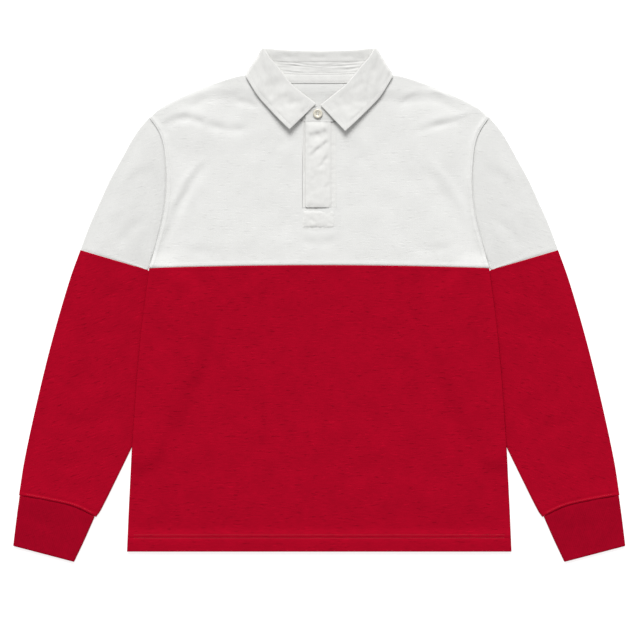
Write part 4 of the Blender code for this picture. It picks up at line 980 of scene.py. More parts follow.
def upper_panel(side, name, material):
    """Upper block of the front (side +1), slit for the placket, or of the back (side -1)."""
    place, inner_edge = upper_plan(side)
    row_length, column_length = 190.0, 255.0
    step = 3.2 if side > 0 else 6.0
    first = SEAM_STEPS[-1] + step
    from_arm = np.concatenate([SEAM_STEPS, np.arange(first, row_length, step), [row_length]])
    from_low = np.concatenate([SEAM_STEPS, np.arange(first, column_length - 12, step)])
    u, v = 1 - from_arm[::-1] / row_length, from_low / column_length
    if side > 0:    # one row runs along the slit's foot
        shares = np.linspace(0, 1, 2000)
        slit_share = np.interp(SLIT_FOOT, inner_edge(shares)[:, 1], shares)
        v[row_near(v, slit_share)] = slit_share
    v = np.append(v, (0.968, 0.98, 0.99))
    # the shoulder is a fold, in which the front and the back meet
    curl, angles = len(CURL), CURL[::-1]
    edge = place(u, 1.0)
    half_fold = LAYER_PITCH / 2 - SEAM_GAP
    inwards = (JERSEY / 2 + half_fold * (1 - np.cos(angles)))[:, None, None]
    folds = edge + unit(place(u, 0.97) - edge) * inwards
    if side < 0:
        plain = edge - np.linspace(1, 0, curl)[:, None, None] * (0.0, 2.6)
        folds = np.where((edge[:, 0] < NECK_END_X)[:, None], plain, folds)
    plan = np.concatenate([place(u, v[:, None]), folds])
    rows, columns = plan.shape[:2]
    left = plan[:, ::-1] * (-1, 1)
    if side > 0:
        slit = np.dstack(np.broadcast_arrays(np.linspace(-SLIT_HALF, SLIT_HALF, 17)[1:-1],
                                             plan[:, :1, 1]))
        plan = np.concatenate([left, slit, plan], axis=1)
    else:
        plan = np.concatenate([left[:, :-1], plan], axis=1)
    x, y = plan[..., 0], plan[..., 1]
    z = front_height(x, y) if side > 0 else back_cloth_height(x, y)
    behind_neck = (np.abs(x) < NECK_END_X) & (side < 0)
    rise = (SEAM_GAP + half_fold * np.sin(angles))[:, None]
    z[-curl:] = np.where(behind_neck[-curl:], z[-curl:],
                         back_height(x, y)[-curl:] + LAYER_PITCH / 2 + side * rise)
    from_arm = (body_edge(y) - np.abs(x)) * 0.97
    from_seam = y - colour_seam_y(x) - SEAM_GAP
    if side > 0:
        relief = band_relief(y, from_arm) + seam_relief(x, from_seam) + box_relief(x, y)
        z = z + relief * ease((rows - 3 - np.arange(rows)) / 5)[:, None]
    grid = np.stack([x, y, z], axis=-1)
    normals = upward_normals(grid)
    outward = unit(grid[-1, :, :2] - grid[-curl, :, :2])
    for k, angle in enumerate(CURL[:-1]):
        turned = np.column_stack([outward * math.cos(angle) * side,
                                  np.full(len(outward), math.sin(angle))])
        normals[-1 - k] = np.where(behind_neck[-1][:, None], normals[-1 - k], turned)
    normals[:rows - curl + 1, [0, -1]] = normals[0] = (0, 0, 1)
    cells = np.ones((rows - 1, plan.shape[1] - 1), bool)
    if side > 0:
        slit_row = row_near(plan[:, plan.shape[1] // 2, 1], SLIT_FOOT)
        cells[slit_row:, columns - 1:-(columns - 1)] = False
        for column, beside in ((columns - 1, columns - 2), (-columns, 1 - columns)):
            normals[slit_row:, column] = normals[slit_row:, beside]
    free = np.minimum(np.maximum(from_seam, 0), np.maximum(from_arm, 0))
    half = JERSEY / 2 * rounding(free, JERSEY / 2)
    obj = shell(name, grid, normals, half, half, plan_place(grid), material, cells=cells)
    face = on_top(grid, side * normals, half)
    shown = slice(3, rows - curl - 2)
    sewn = [SEAM_STEPS.index(distance) for distance in ARMHOLE_ROWS]
    return obj, [(face[shown, column], side * normals[shown, column])
                 for k in sewn for column in (k, -1 - k)]


# ---- sleeves and cuffs ----
def slant(place, u, v):
    """How much longer a row of the plan is than the straight way across its edge."""
    inward = unit(place(abs(u - 0.02), v) - place(u, v))
    edge = unit(place(u, min(v + 0.02, 1)) - place(u, max(v - 0.02, 0)))
    return 1 / max(abs(inward[0] * edge[1] - inward[1] * edge[0]), 0.45)


def tube(name, place, stations, side, material, height, low, relief, step=3.0, fanned=False,
         ends=None):
    """Flattened tube: for each station round its fold, over its upper layer, round the other
    fold and back along the under layer, whose middle lies at low. relief(u, v, x, y) raises the
    upper layer; ends are the shares of the tube's length over which its open ends roll thinner.
    Gives the object and a function for the seam along a station, over the upper layer."""
    across = int(np.linalg.norm(place(1.0, 0.6) - place(0.0, 0.6)) / step)
    back = CURL[::-1]
    rings, runs = [], []
    for v in stations:
        first, last = place(0.0, v), place(1.0, v)
        width = float(np.linalg.norm(last - first))
        tops = [float(height(*end)) for end in (first, last)]
        (half_a, half_b), (mid_a, mid_b) = (([(top + sign * low) / 2 for top in tops])
                                            for sign in (-1, 1))
        left = slant(place, 0.0, v) * (low + half_a * (1 - np.cos(CURL)))
        right = width - slant(place, 1.0, v) * (low + half_b * (1 - np.cos(back)))
        flat = np.linspace(left[-1], right[0], across)[1:-1]
        under = flat[::-1][::2]
        share = np.concatenate([left, flat, right, right[::-1][1:], under, left[::-1][:-1]]) / width
        spot = place(share, v)
        over = slice(len(left), len(left) + len(flat))
        x, y = spot[over].T
        calm = np.minimum(ease((flat - left[-1]) / 6), ease((right[0] - flat) / 6))
        z = np.concatenate([
            mid_a + half_a * np.sin(CURL), height(x, y) + calm * relief(share[over], v, x, y),
            mid_b + half_b * np.sin(back), mid_b - half_b * np.sin(CURL[1:]),
            np.full(len(under), low), mid_a - half_a * np.sin(back[:-1])])
        rings.append(np.column_stack([spot, z]))
        runs.append(unit(place(np.minimum(share + 0.02, 1), v)
                         - place(np.maximum(share - 0.02, 0), v)))
    grid = np.array(rings)
    normals = grid_normals(grid, True)
    for k in range(len(stations)) if fanned else (0, -1):   # square to the seam line
        across_seam = np.column_stack([-runs[k][:, 1], runs[k][:, 0], np.zeros(len(runs[k]))])
        along_it = np.sum(normals[k] * across_seam, axis=1, keepdims=True)
        normals[k] = unit(normals[k] - along_it * across_seam)
    if side < 0:
        grid[..., 0] *= -1
        normals[..., 0] *= -1
    if np.mean(normals[:, -len(CURL) - 3, 2]) > 0:  # they point outwards, away from the hollow
        normals = -normals
    walls = np.full((len(stations), 1), low)
    if ends:
        walls *= (rounding(stations, ends[0]) * rounding(1 - stations, ends[1]))[:, None]
    obj = shell(name, grid, normals, walls, walls, plan_place(grid, side * SLEEVE_GRAIN), material,
                ring=True)
    face = on_top(grid, normals, walls)
    shown = slice(over.start + 2, over.stop - 2)
    return obj, lambda row: (face[row, shown], normals[row, shown])


def end_shares(length, start, end, step):
    """Stations of a tube as shares of its length: dense ones at its start and its end."""
    inner = np.arange(start[-1] + step, length - end[-1] - step / 2, step)
    return np.concatenate([start, inner, length - np.array(end[::-1])]) / length


def sleeve_plans():
    """Plans of the two blocks of the right sleeve, u from the underarm to the outer fold."""
    def block_seam(gap):
        return along([(x, y + gap)
                      for x, y in (UNDERARM, (280, 60.0), (315, 70.4), SLEEVE_SEAM_OUT)])

    def fold(fold_x, start, end, count):
        return along([(fold_x(y), y) for y in np.linspace(start, end, count)])

    low_y, high_y = BLOCK_SEAM_SIDE + 0.4, SHOULDER_TIP[1] - 0.4
    armhole = along([(armhole_x(y) + SEAM_GAP, y) for y in np.linspace(low_y, high_y, 40)])
    outer_fold = fold(sleeve_out_x, high_y, SLEEVE_SEAM_OUT[1] + SEAM_GAP, 40)
    underarm = along([(ARMPIT_X + SEAM_GAP, low_y), (UNDERARM[0], UNDERARM[1] + SEAM_GAP)])
    upper = patch(underarm, outer_fold, armhole, block_seam(SEAM_GAP))
    outer_fold = fold(sleeve_out_x, SLEEVE_SEAM_OUT[1] - SEAM_GAP, CUFF_SEAM[-1][1], 50)
    underarm = fold(sleeve_in_x, UNDERARM[1] - SEAM_GAP, CUFF_SEAM[0][1] + 0.4, 50)
    cuff_seam = along([(x, y - CUFF_LAP) for x, y in CUFF_SEAM])
    return upper, patch(underarm, outer_fold, block_seam(-SEAM_GAP), cuff_seam)


def cuff_plan():
    top_out, top_in = (436.4, -276.6), (326.8, -308.2)
    outer_fold = along([top_out, (440.6, -307), CUFF_HEM[1]])
    inner_fold = along([top_in, (342.0, -342.5), CUFF_HEM[0]])
    seam = along([top_in] + [(x, y + CUFF_LAP) for x, y in CUFF_SEAM[1:-1]] + [top_out])
    return patch(inner_fold, outer_fold, seam, along(CUFF_HEM))


# ---- placket and tape ----
def band(name, x, y, height, half, free, least=0.12):
    """Flat band at the points x, y of a height field; free names its rolled edges."""
    grid = np.dstack([x, y, height(x, y)])
    normals = upward_normals(grid)
    distance = {"left": x - x[:, :1], "right": x[:, -1:] - x, "foot": y - y[:1],
                "head": y[-1:] - y}
    walls = np.full(x.shape, half)
    for edge in free:
        walls = walls * rounding(np.abs(distance[edge]), half, least)
    obj = shell(name, grid, normals, walls, walls, plan_place(grid), white_twill())
    return obj, on_top(grid, normals, walls), normals


def over_height(x, y):
    """The over band's raised face lies on the under band, with a rounded foot; to its right the
    band is sewn down flat, level with the front."""
    corner = 7.0
    out_x = np.maximum(x - (OVER_STEP_X - corner), 0)
    out_y = np.maximum(SLIT_FOOT + corner - y, 0)
    beyond = np.hypot(out_x, out_y) - corner
    on_face = 1 - ease((np.where(out_x > 0, beyond, -1.0) + 0.2) / (2.1 * OVER_STEP))
    raised = 1.5 * ease((x - OVER_FREE_X) / 6) * ease((14 - x) / 10)
    raised = raised * (1 - np.clip(1 - (y - SLIT_FOOT) / 11, 0, 1) ** 2.2)
    raised = raised * (0.25 + 0.75 * ease((STAND_FOOT - y) / 7)) - 0.25 * hump(STAND_FOOT - y, 1.2)
    raised = raised + 0.16 * undulation(x, y, 33, 15) - sunk_by(PLACKET_CREASES, x, y, 0.45, 2.2)
    first, second = OVER_GROOVES
    grooves = 0.16 * (hump(x - first, 0.9) + 0.4 * hump(x - second, 0.9))
    joined = ease((x - 17.5) / 6.5)
    level = front_form(x, y) * (1 - joined) + front_height(x, y) * joined
    return (level - 0.2 * joined + (JERSEY / 2 + PLY_GAP + PLACKET / 2 + raised) * on_face
            + (pucker(y, x - first, 5.0, 0.14) - grooves) * (1 - on_face))


def under_height(x, y):
    """The under band dips beside the over band's free edge."""
    beside = hump(x - OVER_FREE_X + 0.9, 1.3) * ease((y - 178) / 20)
    return front_form(x, y) + pucker(y, x + SLIT_HALF, 4.0, 0.1) - 1.1 * beside


def box_height(x, y):
    """The box: pressed down along its stitches, cushioned inside them, with two small dents."""
    inside_x = BOX_HALF - np.abs(x)
    inside_y = np.minimum(y - BOX_FOOT, BOX_TOP - y)
    inside = np.minimum(inside_x, inside_y)
    around = np.where(inside_x < inside_y, y, x)
    cushion = 0.15 * ease((inside - 2) / 5) + 0.16 * undulation(x, y, 31, 11)
    pressed = 1.2 * (1 - ease(inside / 3.6)) + 0.45
    right_x, right_y = x - 10.2, y - 115.4
    dents = 0.7 * (hump(np.hypot((x + 6.8) / 1.6, (y - 120.8) / 1.1), 1.0)
                   + hump(np.hypot((right_x + 0.5 * right_y) / 2.6, right_y - 0.4 * right_x), 1.0))
    return (front_form(x, y) + JERSEY / 2 + PLY_GAP + BOX_PLY / 2 + cushion - pressed - dents
            - 0.2 * hump(inside - 2.0, 0.8) + pucker(around * 1.2, inside - 2, 3.5, 0.2))


BAND_FOOT, BAND_HEAD = SLIT_FOOT + 0.3, STAND_FOOT - SEAM_GAP


def make_over_band():
    """The placket's over band, its foot rounded at the free side and sewn down at the other."""
    xs = np.concatenate([OVER_FREE_X + BAND_STEPS, np.arange(-18.0, 15.8, 1.2),
                         [16.2, 17.0, 17.8, 18.8, 19.8, 20.9, 21.8, 22.7, 23.6,
                          SLIT_HALF - 0.06]])
    ys = np.concatenate([BAND_FOOT + BAND_STEPS, np.arange(BAND_FOOT + 2.4, BAND_HEAD - 2.6, 1.6),
                         BAND_HEAD - BAND_STEPS[::-1]])
    x, y = np.meshgrid(xs, ys)
    corner = 3.0
    near = np.clip(OVER_FREE_X + corner - x, 0, corner)
    bent = corner - np.sqrt(corner**2 - near**2)
    joined = ease((x - 10) / 5)
    y = y + (bent - 0.28 * joined) * np.clip(1 - (y - BAND_FOOT) / 10, 0, 1)
    obj, face, normals = band("placket_over_cloth", x, y, over_height, PLACKET / 2,
                              ("left", "foot"), 0.12 + 0.83 * joined)
    sewn = [row_near(xs, at) for at in OVER_ROWS]
    finish_cloth(obj, "placket_over", "white_twill",
                 "placket_stitches", [(face[4:-3, k], normals[4:-3, k]) for k in sewn])


def make_under_band():
    """The placket's under band, from its free edge to the over band's middle."""
    xs = np.concatenate([-SLIT_HALF + 0.32 + BAND_STEPS, np.arange(-22.5, -16.5, 0.8),
                         np.arange(-16.5, UNDER_END_X, 2.5)])
    x, y = np.meshgrid(xs, np.arange(BAND_FOOT, BAND_HEAD + 3.2, 2.2))
    shut = ease((y - 205) / 35)
    x = x - 0.3 * shut * np.clip(1 - (x - xs[0]) / 6, 0, 1)
    obj, _, _ = band("placket_under_cloth", x, y, under_height, JERSEY / 2, ("left",),
                     0.12 + 0.8 * shut)
    finish_cloth(obj, "placket_under", "white_twill")


def make_box():
    """The stitched box at the placket's foot."""
    close = np.append(BAND_STEPS, (2.0, 2.6))
    x, y = np.meshgrid(
        np.concatenate([-BOX_HALF + close, np.arange(-21, 21.5, 1.5), BOX_HALF - close[::-1]]),
        np.concatenate([BOX_FOOT + close, np.arange(BOX_FOOT + 4, BOX_TOP - 3.5, 1.5),
                        BOX_TOP - close[::-1]]))
    obj, face, normals = band("placket_box_cloth", x, y, box_height, BOX_PLY / 2,
                              ("left", "right", "foot", "head"))
    inner = slice(5, -5)
    rows = ((5, inner), (-6, inner), (inner, 5), (inner, -6))
    finish_cloth(obj, "placket_box", "white_twill",
                 "placket_box_stitches", [(face[row], normals[row]) for row in rows])


def tape_height(x, y):
    edge = np.minimum(y - TAPE_FOOT, neck_back_y(np.abs(x)) - 1.0 - y)
    return (back_height(x, y) + JERSEY / 2 + PLY_GAP + TAPE / 2 + 0.25 * ease((edge - 1.5) / 3)
            - 0.2 * hump(edge - 1.6, 0.6) + pucker(x, edge - 2, 3.0, 0.08))


# ---- collar ----
SIDE_LENGTH = float(np.linalg.norm(COLLAR_SIDE_END - COLLAR_CORNER))
SIDE_RUN = unit(COLLAR_SIDE_END - COLLAR_CORNER)
SIDE_OUT = np.array((-SIDE_RUN[1], SIDE_RUN[0]))
# middle height and half height of the collar's turn round the shoulder, at four places across it
TURN_NECK = np.array((4.4, 1.0))
TURN_FOLD_IN = np.array((5.45, 1.55))
TURN_FOLD_OUT = np.array((5.45, 4.35))
TURN_EDGE = np.array((4.75, 3.65))
FOLD_PINCH = 2.5        # the pressed fold is this much tighter where it turns at the shoulder
WING_RUN = 112.0        # length of a front wing of the collar, along its leaf
WAVY_RUN = 118.0        # the leaf's relief and its curl end this far from its front ends
CURL_RUN = 104.0
SLIVER = 0.04           # the leaf's first row lies this far over the stand's last one


def leaf_shares(length):
    """Rows of the leaf from its fold to its outer edge, close together near the edge."""
    near, rows = 1 - EDGE_STEPS / length, 12
    return np.concatenate([near[0] * np.arange(1, rows) / rows, near])


def collar_rows(inner_row, top_share, length, roll, fall):
    """Rows of the stand, and of the leaf from the stand over its pressed fold to its edge;
    inner_row gives points at shares of the length from the neck seam to the fold."""
    start = top_share + SLIVER / length
    return (inner_row(STAND_SHARES * top_share),
            np.concatenate([inner_row(start + (1 - start) * INNER_SHARES), roll, fall]))


def front_section(s, side):
    """Cross-section of a front wing: points of the stand, then points of the leaf."""
    read = [column(s) for column in collar_front]
    neck = np.array(read[:2]) + 1.4 * SEAM_GAP * np.array((-0.7, 0.7))
    fold, edge = np.array(read[2:4]), np.array(read[4:6])
    z_in, z_out = read[6] if side > 0 else read[7], read[8]
    if side < 0:
        shift = LEFT_SHIFT * (1 - ease(s / 0.8))
        fold, edge = fold + shift + np.array((-2.4, -0.2)) * (1 - ease(s / 0.4)), edge + shift
    fold = fold + SIDE_OUT * FOLD_PINCH * ease((s - 0.75) / 0.25)
    run = unit(np.array([collar_front[k](s + 0.02) - collar_front[k](s - 0.02) for k in (2, 3)]))
    outward = np.array((-run[1], run[0]))
    roll = (z_out - z_in) / 2
    centre = fold - outward * (roll + LEAF / 2)
    neck_z = front_form(*neck) + (read[9] if side > 0 else 0.0)

    def inner_row(share):
        height = neck_z + (z_in - neck_z) * np.sin(share * math.pi / 2)
        return np.column_stack([neck + (centre - neck) * share[:, None], height])

    lift = POINT_LIFT * (1 - ease(s / 0.95))
    edge_z = front_form(*edge) + JERSEY / 2 + LEAF_FLOAT + lift + LEAF / 2
    t = leaf_shares(float(np.linalg.norm(edge - centre)))
    return collar_rows(
        inner_row, 0.86 - 0.34 * ease((s - 0.3) / 0.7), np.linalg.norm(centre - neck),
        np.column_stack([centre + outward * roll * ROLL_OUT[:, None],
                         (z_in + z_out) / 2 - roll * ROLL_UP]),
        np.column_stack([centre + (edge - centre) * t[:, None], z_out + (edge_z - z_out) * t * t]))


def side_section(angle):
    """Cross-section of the collar where it turns round the shoulder; angle 0 is its front side."""
    neck_out = np.array(NECK_POINT) - COLLAR_CORNER
    neck_down = float(np.dot(neck_out, SIDE_RUN)) - 10 * SEAM_GAP
    neck_reach = -float(np.dot(neck_out, SIDE_OUT)) + JERSEY / 2 + TURN_NECK[1]
    fold_reach = TURN_FOLD_OUT[1] + LEAF / 2
    roll = (TURN_FOLD_OUT[1] - TURN_FOLD_IN[1]) / 2
    centre_down = roll + LEAF / 2
    level = math.cos(angle)

    def turned(down, reach, middle, radius):
        pinch = FOLD_PINCH * (1 - math.sin(angle)) * (1 - ease((down - 2) / 14))
        spot = (COLLAR_CORNER + SIDE_RUN * down[:, None]
                + SIDE_OUT * (radius * math.sin(angle) - reach + pinch)[:, None])
        return np.column_stack([spot, middle + radius * level])

    def between(first, last, share):
        return first[:, None] + (last - first)[:, None] * share

    def inner_row(share):
        return turned(neck_down + (centre_down - neck_down) * share,
                      neck_reach + (fold_reach - neck_reach) * share,
                      *between(TURN_NECK, TURN_FOLD_IN, share))

    length = SIDE_LENGTH - 2.2 - centre_down
    t = leaf_shares(length)
    drop = EDGE_DROP * level**2.5 if level > 0 else BACK_EDGE_DROP * level**4
    return collar_rows(
        inner_row, 0.52, 31.0,
        turned(centre_down - roll * ROLL_OUT, fold_reach, TURN_FOLD_IN[0],
               TURN_FOLD_IN[1] + roll * (1 - ROLL_UP)),
        turned(centre_down + length * t + drop * t * t,
               fold_reach + (TURN_EDGE[1] + LEAF / 2 - fold_reach) * t,
               *between(TURN_FOLD_OUT, TURN_EDGE, t)))


def back_section(share, turned_stand, turned_leaf):
    """Cross-section behind the neck; share runs from the centre back (0) to the side (1), where
    the last section of the turn takes over."""
    fold_y, edge_y, z_in = (column(min(share, COLLAR_BACK[-1][0])) for column in collar_back)
    z_out = LEAF / 2
    roll = (z_in - z_out) / 2
    centre_y = fold_y - roll - LEAF / 2
    neck_x, fold_x, edge_x = turned_stand[0][0], turned_leaf[FOLD_ROW][0], turned_leaf[-1][0]
    neck_y = neck_back_y(neck_x * share) + 0.03
    neck_z = back_height(neck_x * share, neck_y - 2) + 0.8
    bend = 1.4 + 1.8 * share**2

    def inner_row(t):
        return np.column_stack([(neck_x + (fold_x - neck_x) * t) * share,
                                neck_y + (centre_y - neck_y) * t,
                                neck_z + (z_in - neck_z) * t**bend - 0.25 * np.sin(math.pi * t)])

    t = leaf_shares(abs(edge_y - centre_y))
    sections = collar_rows(
        inner_row, 0.58 - 0.06 * share, 28.0,
        np.column_stack([np.full(len(ROLL), fold_x * share), centre_y + roll * ROLL_OUT,
                         (z_in + z_out) / 2 + roll * ROLL_UP]),
        np.column_stack([(fold_x + (edge_x - fold_x) * t) * share,
                         centre_y + (edge_y - centre_y) * t, np.full(len(t), z_out)]))
    blend = ease((share - 0.70) / 0.28)
    return [rows + (turned * (share, 1, 1) - rows) * blend
            for rows, turned in zip(sections, (turned_stand, turned_leaf))]


def half_collar(side):
    """Sections of one half of the collar, from its front end to the centre back."""
    steps = np.concatenate([EDGE_STEPS[::-1], np.arange(15.0, 0.93 * WING_RUN, 3.0)]) / WING_RUN
    sections = [front_section(s, side) for s in steps]
    sections += [side_section(angle) for angle in np.radians(np.linspace(0, 180, 21))]
    turned = sections[-1]
    sections += [back_section(share, *turned) for share in np.linspace(0.96, 0.0, 44)]
    mirror = np.array((side, 1, 1))
    return [np.array(rows) * mirror for rows in zip(*sections)]


def stand_end(side):
    """The stand's straight end past the centre front, from its tip inwards."""
    start, _ = front_section(0.0, side)
    foot, top = start[0] - np.array((0.0, 0.4, 0.0)), start[-1]
    if side > 0:
        tip_x, lean, blend_from, ride = OVER_FREE_X, 0.35, 0.5, STAND_OVER
    else:
        tip_x, lean, blend_from, ride = -STAND_UNDER_X, 0.1, 0.6, 0.0
    tip_y, t = 288.6, STAND_SHARES
    level = (front_form(0.0, STAND_FOOT - 0.7) + ride + lean * t
             + 1.2 * ease((t - 0.58) / 0.42))
    rows = []
    for share in (0.0, 0.006, 0.02, 0.05, 0.12, 0.22, 0.34, 0.46, 0.58, 0.7, 0.8, 0.9):
        blend = ease((share - blend_from) / (1 - blend_from))
        low_x = tip_x + (foot[0] - tip_x) * share
        high_x = tip_x + 0.8 + (top[0] - tip_x - 0.8) * share
        high_y = tip_y + (top[1] - tip_y) * share
        rows.append(np.column_stack([low_x + (high_x - low_x) * t, foot[1] + (high_y - foot[1]) * t,
                                     level + (start[:, 2] - level) * blend]))
    return np.array(rows) * (side, 1, 1)


def sunk_inside(grid):
    """How far the creases behind the neck sink the cloth."""
    x, y = grid[..., 0], grid[..., 1]
    return ease((y - 332) / 4) * sunk_by(NECK_CREASES, x, y, 0.6)


def make_stand(grid):
    """The collar's stand, with wrinkles behind the neck."""
    normals = grid_normals(grid)
    place = collar_place(grid)
    run, across = place[..., 0] / MM, place[..., 1] / MM
    from_edge = np.minimum(across, across[:, -1:] - across)
    wrinkles = 0.22 * undulation(run * 0.35, across, 52, 9) + 0.14 * undulation(run, across, 51, 24)
    grid = grid + normals * (wrinkles * ease((from_edge + 1.0) / 4))[..., None]
    grid[..., 2] -= sunk_inside(grid) * (grid[..., 2] < 6.8)
    half = (STAND / 2 * rounding(from_edge, 0.6, 0.92)
            * rounding(np.minimum(run, run[-1:] - run), 0.8))
    obj = shell("collar_stand_cloth", grid, normals, half, half, place, white_twill("collar"))
    if np.mean(normals[:20, 3, 2]) < 0:
        normals = -normals
    face = on_top(grid, normals, half)
    finish_cloth(obj, "collar_stand", "white_twill",
                 "collar_stand_stitches", [(face[4:-4, k], normals[4:-4, k]) for k in (3, -4)])


def make_leaf(grid):
    """The collar's leaf, which curls up towards its edges and its points."""
    normals = grid_normals(grid)
    if np.mean(normals[:20, FALL_ROW + 4, 2]) < 0:
        normals = -normals
    place = collar_place(grid)
    run, across = place[..., 0] / MM, place[..., 1] / MM
    fallen = across - across[:, FALL_ROW - 1:FALL_ROW]
    from_edge = np.maximum(across[:, -1:] - across, 0)
    from_end = np.minimum(run, run[-1:] - run)
    margin = np.minimum(from_edge, from_end)
    shown = ease(fallen / 6) * ease((from_edge - 5) / 5) * (from_end < WAVY_RUN)
    raised = (0.5 * undulation(run, across, 61, 30) + 0.26 * undulation(run, across, 62, 14)
              - sunk_by(LEAF_CREASES, from_end, fallen, 0.5))
    sewn = (0.08 * hump(margin - 2.6, 2.0) - 0.10 * hump(margin - LEAF_MARGIN, 0.8)
            + pucker(run + across, margin - LEAF_MARGIN, 4.0, 0.07))
    curl = 1.5 * hump(from_edge, 17.0) + 2.2 * hump(np.hypot(from_edge, from_end), 26.0)
    relief = shown * raised + (fallen > 0) * (sewn + ease((CURL_RUN - from_end) / 16) * curl)
    grid = grid + normals * relief[..., None]
    to_fold = ease((across[:, FOLD_ROW][:, None] - across) / 3)
    grid[..., 2] -= sunk_inside(grid) * to_fold * (grid[..., 2] < 8.5)
    half = (LEAF / 2 * rounding(from_edge, 1.1) * rounding(from_end, 1.1)
            * rounding(across, 0.6, 0.94))
    obj = shell("collar_leaf_cloth", grid, normals, half, half, place, white_twill("collar"))
    face = on_top(grid, normals, half)
    step = row_near(EDGE_STEPS, LEAF_MARGIN)
    edge_row, station = grid.shape[1] - len(EDGE_STEPS) + step, len(EDGE_STEPS) - 1 - step
    rows = [(slice(station, -1 - station), edge_row)]
    rows += [(s, slice(FALL_ROW + 2, edge_row + 1)) for s in (station, -1 - station)]
    finish_cloth(obj, "collar_leaf", "white_twill",
                 "collar_leaf_stitches", [(face[row], normals[row]) for row in rows])


def make_tape():
    """The tape over the back neck seam."""
    xs = np.concatenate([[-TAPE_HALF, -TAPE_HALF + 0.4], np.linspace(-58, 58, 59),
                         [TAPE_HALF - 0.4, TAPE_HALF]])
    shares = np.array((0, 0.02, 0.06, 0.11, 0.16, 0.24, 0.36, 0.5, 0.64, 0.76, 0.84, 0.89, 0.94,
                       0.98, 1.0))[:, None]
    y = TAPE_FOOT + (neck_back_y(np.abs(xs)) - 0.12 - TAPE_FOOT) * shares
    obj, face, normals = band("neck_tape_cloth", np.broadcast_to(xs, y.shape), y, tape_height,
                              TAPE / 2, ("foot", "head"), 0.3)
    finish_cloth(obj, "neck_tape", "white_twill",
                 "neck_tape_stitches", [(face[k, 2:-2], normals[k, 2:-2]) for k in (3, -4)])


# ---- settings ----
LENGTH = {"precision": 5, "unit": "LENGTH"}
SHARE = {"subtype": "FACTOR"}


def number_property(name, description, default, low, high, **kind):
    return bpy.props.FloatProperty(
        name=name, description=description, default=default, min=low, max=high, **kind)


def colour_property(name, description, *default):
    return bpy.props.FloatVectorProperty(
        name=name, description=description, default=default, size=3, min=0.0, max=1.0,
        subtype="COLOR")


class ShirtCloth(bpy.types.PropertyGroup):
    crease_depth: number_property(
        "Crease Depth", "Depth of the soft creases, as a share of the usual one",
        1.0, 0.0, 2.0, **SHARE)
    loop_width: number_property(
        "Loop Width", "Width of one knitted loop of the jersey", 0.0011, 0.0003, 0.01, **LENGTH)
    rib_width: number_property(
        "Rib Width", "From one rib of the cuffs to the next", 0.0026, 0.0005, 0.02, **LENGTH)


class ShirtSewing(bpy.types.PropertyGroup):
    pitch: number_property(
        "Stitch Pitch", "From one stitch to the next", 0.0032, 0.001, 0.02, **LENGTH)
    length: number_property(
        "Stitch Length", "Length of the thread that shows", 0.0025, 0.0005, 0.02, **LENGTH)
    radius: number_property(
        "Thread Radius", "Half the thickness of the thread", 0.00023, 0.00005, 0.002, **LENGTH)


class ShirtColours(bpy.types.PropertyGroup):
    white: colour_property("Heather White", "Jersey of the upper blocks", 0.685, 0.685, 0.670)
    # Painted shade: the sleeves' white is a darker copy of the body's, not a different cloth.
    sleeve_painted_shade: number_property(
        "Sleeve Tone", "Brightness of the sleeves' white, as a share of the body's",
        0.955, 0.5, 1.2, **SHARE)
    collar_tone: number_property(
        "Collar Tone", "Brightness of the collar's twill, as a share of the placket's",
        0.96, 0.5, 1.2, **SHARE)
    red: colour_property("Deep Red", "Jersey of the lower blocks", 0.343, 0.0013, 0.0143)
    rib: colour_property("Rib Red", "Ribbed cuffs", 0.291, 0.0009, 0.0127)
    twill: colour_property("Twill White", "Collar, placket and tape", 0.688, 0.686, 0.668)
    white_thread: colour_property("White Thread", "Stitches on white cloth", 0.73, 0.73, 0.71)
    red_thread: colour_property("Red Thread", "Stitches on red cloth", 0.36, 0.0016, 0.016)
    button: colour_property("Button Cream", "Button on the stand", 0.63, 0.595, 0.505)


class ShirtStudio(bpy.types.PropertyGroup):
    floor: colour_property("Floor", "Pale floor under the shirt", 0.42, 0.42, 0.42)
    sky: number_property(
        "Fill Light", "Strength of the even light from all round", 0.50, 0.0, 4.0)
    sun: number_property(
        "Key Light", "Strength of the soft light from the collar's side", 3.55, 0.0, 20.0)
    glow: number_property(
        "Table Glow", "Light that the table gives off from below", 0.76, 0.0, 4.0)
    height: number_property(
        "Camera Height", "Height of the camera over the floor", 6.0, 1.0, 20.0, unit="LENGTH")


# ---- operators ----
SIDES = ((+1, "right"), (-1, "left"))


class SHIRT_OT_body(bpy.types.Operator):
    """Sews the front and the back, each from a white and a red block"""
    bl_idname = "shirt.body"
    bl_label = "Body"

    def execute(self, context):
        for side, word in ((+1, "front"), (-1, "back")):
            obj, seams = upper_panel(side, word + "_upper_cloth", white_jersey())
            finish_cloth(obj, word + "_upper", "heather_white_jersey",
                         word + "_armhole_stitches", seams)
            obj, seams = lower_panel(side, word + "_lower_cloth", red_jersey())
            finish_cloth(obj, word + "_lower", "red_jersey",
                         word + "_hem_stitches", seams)
        return {"FINISHED"}


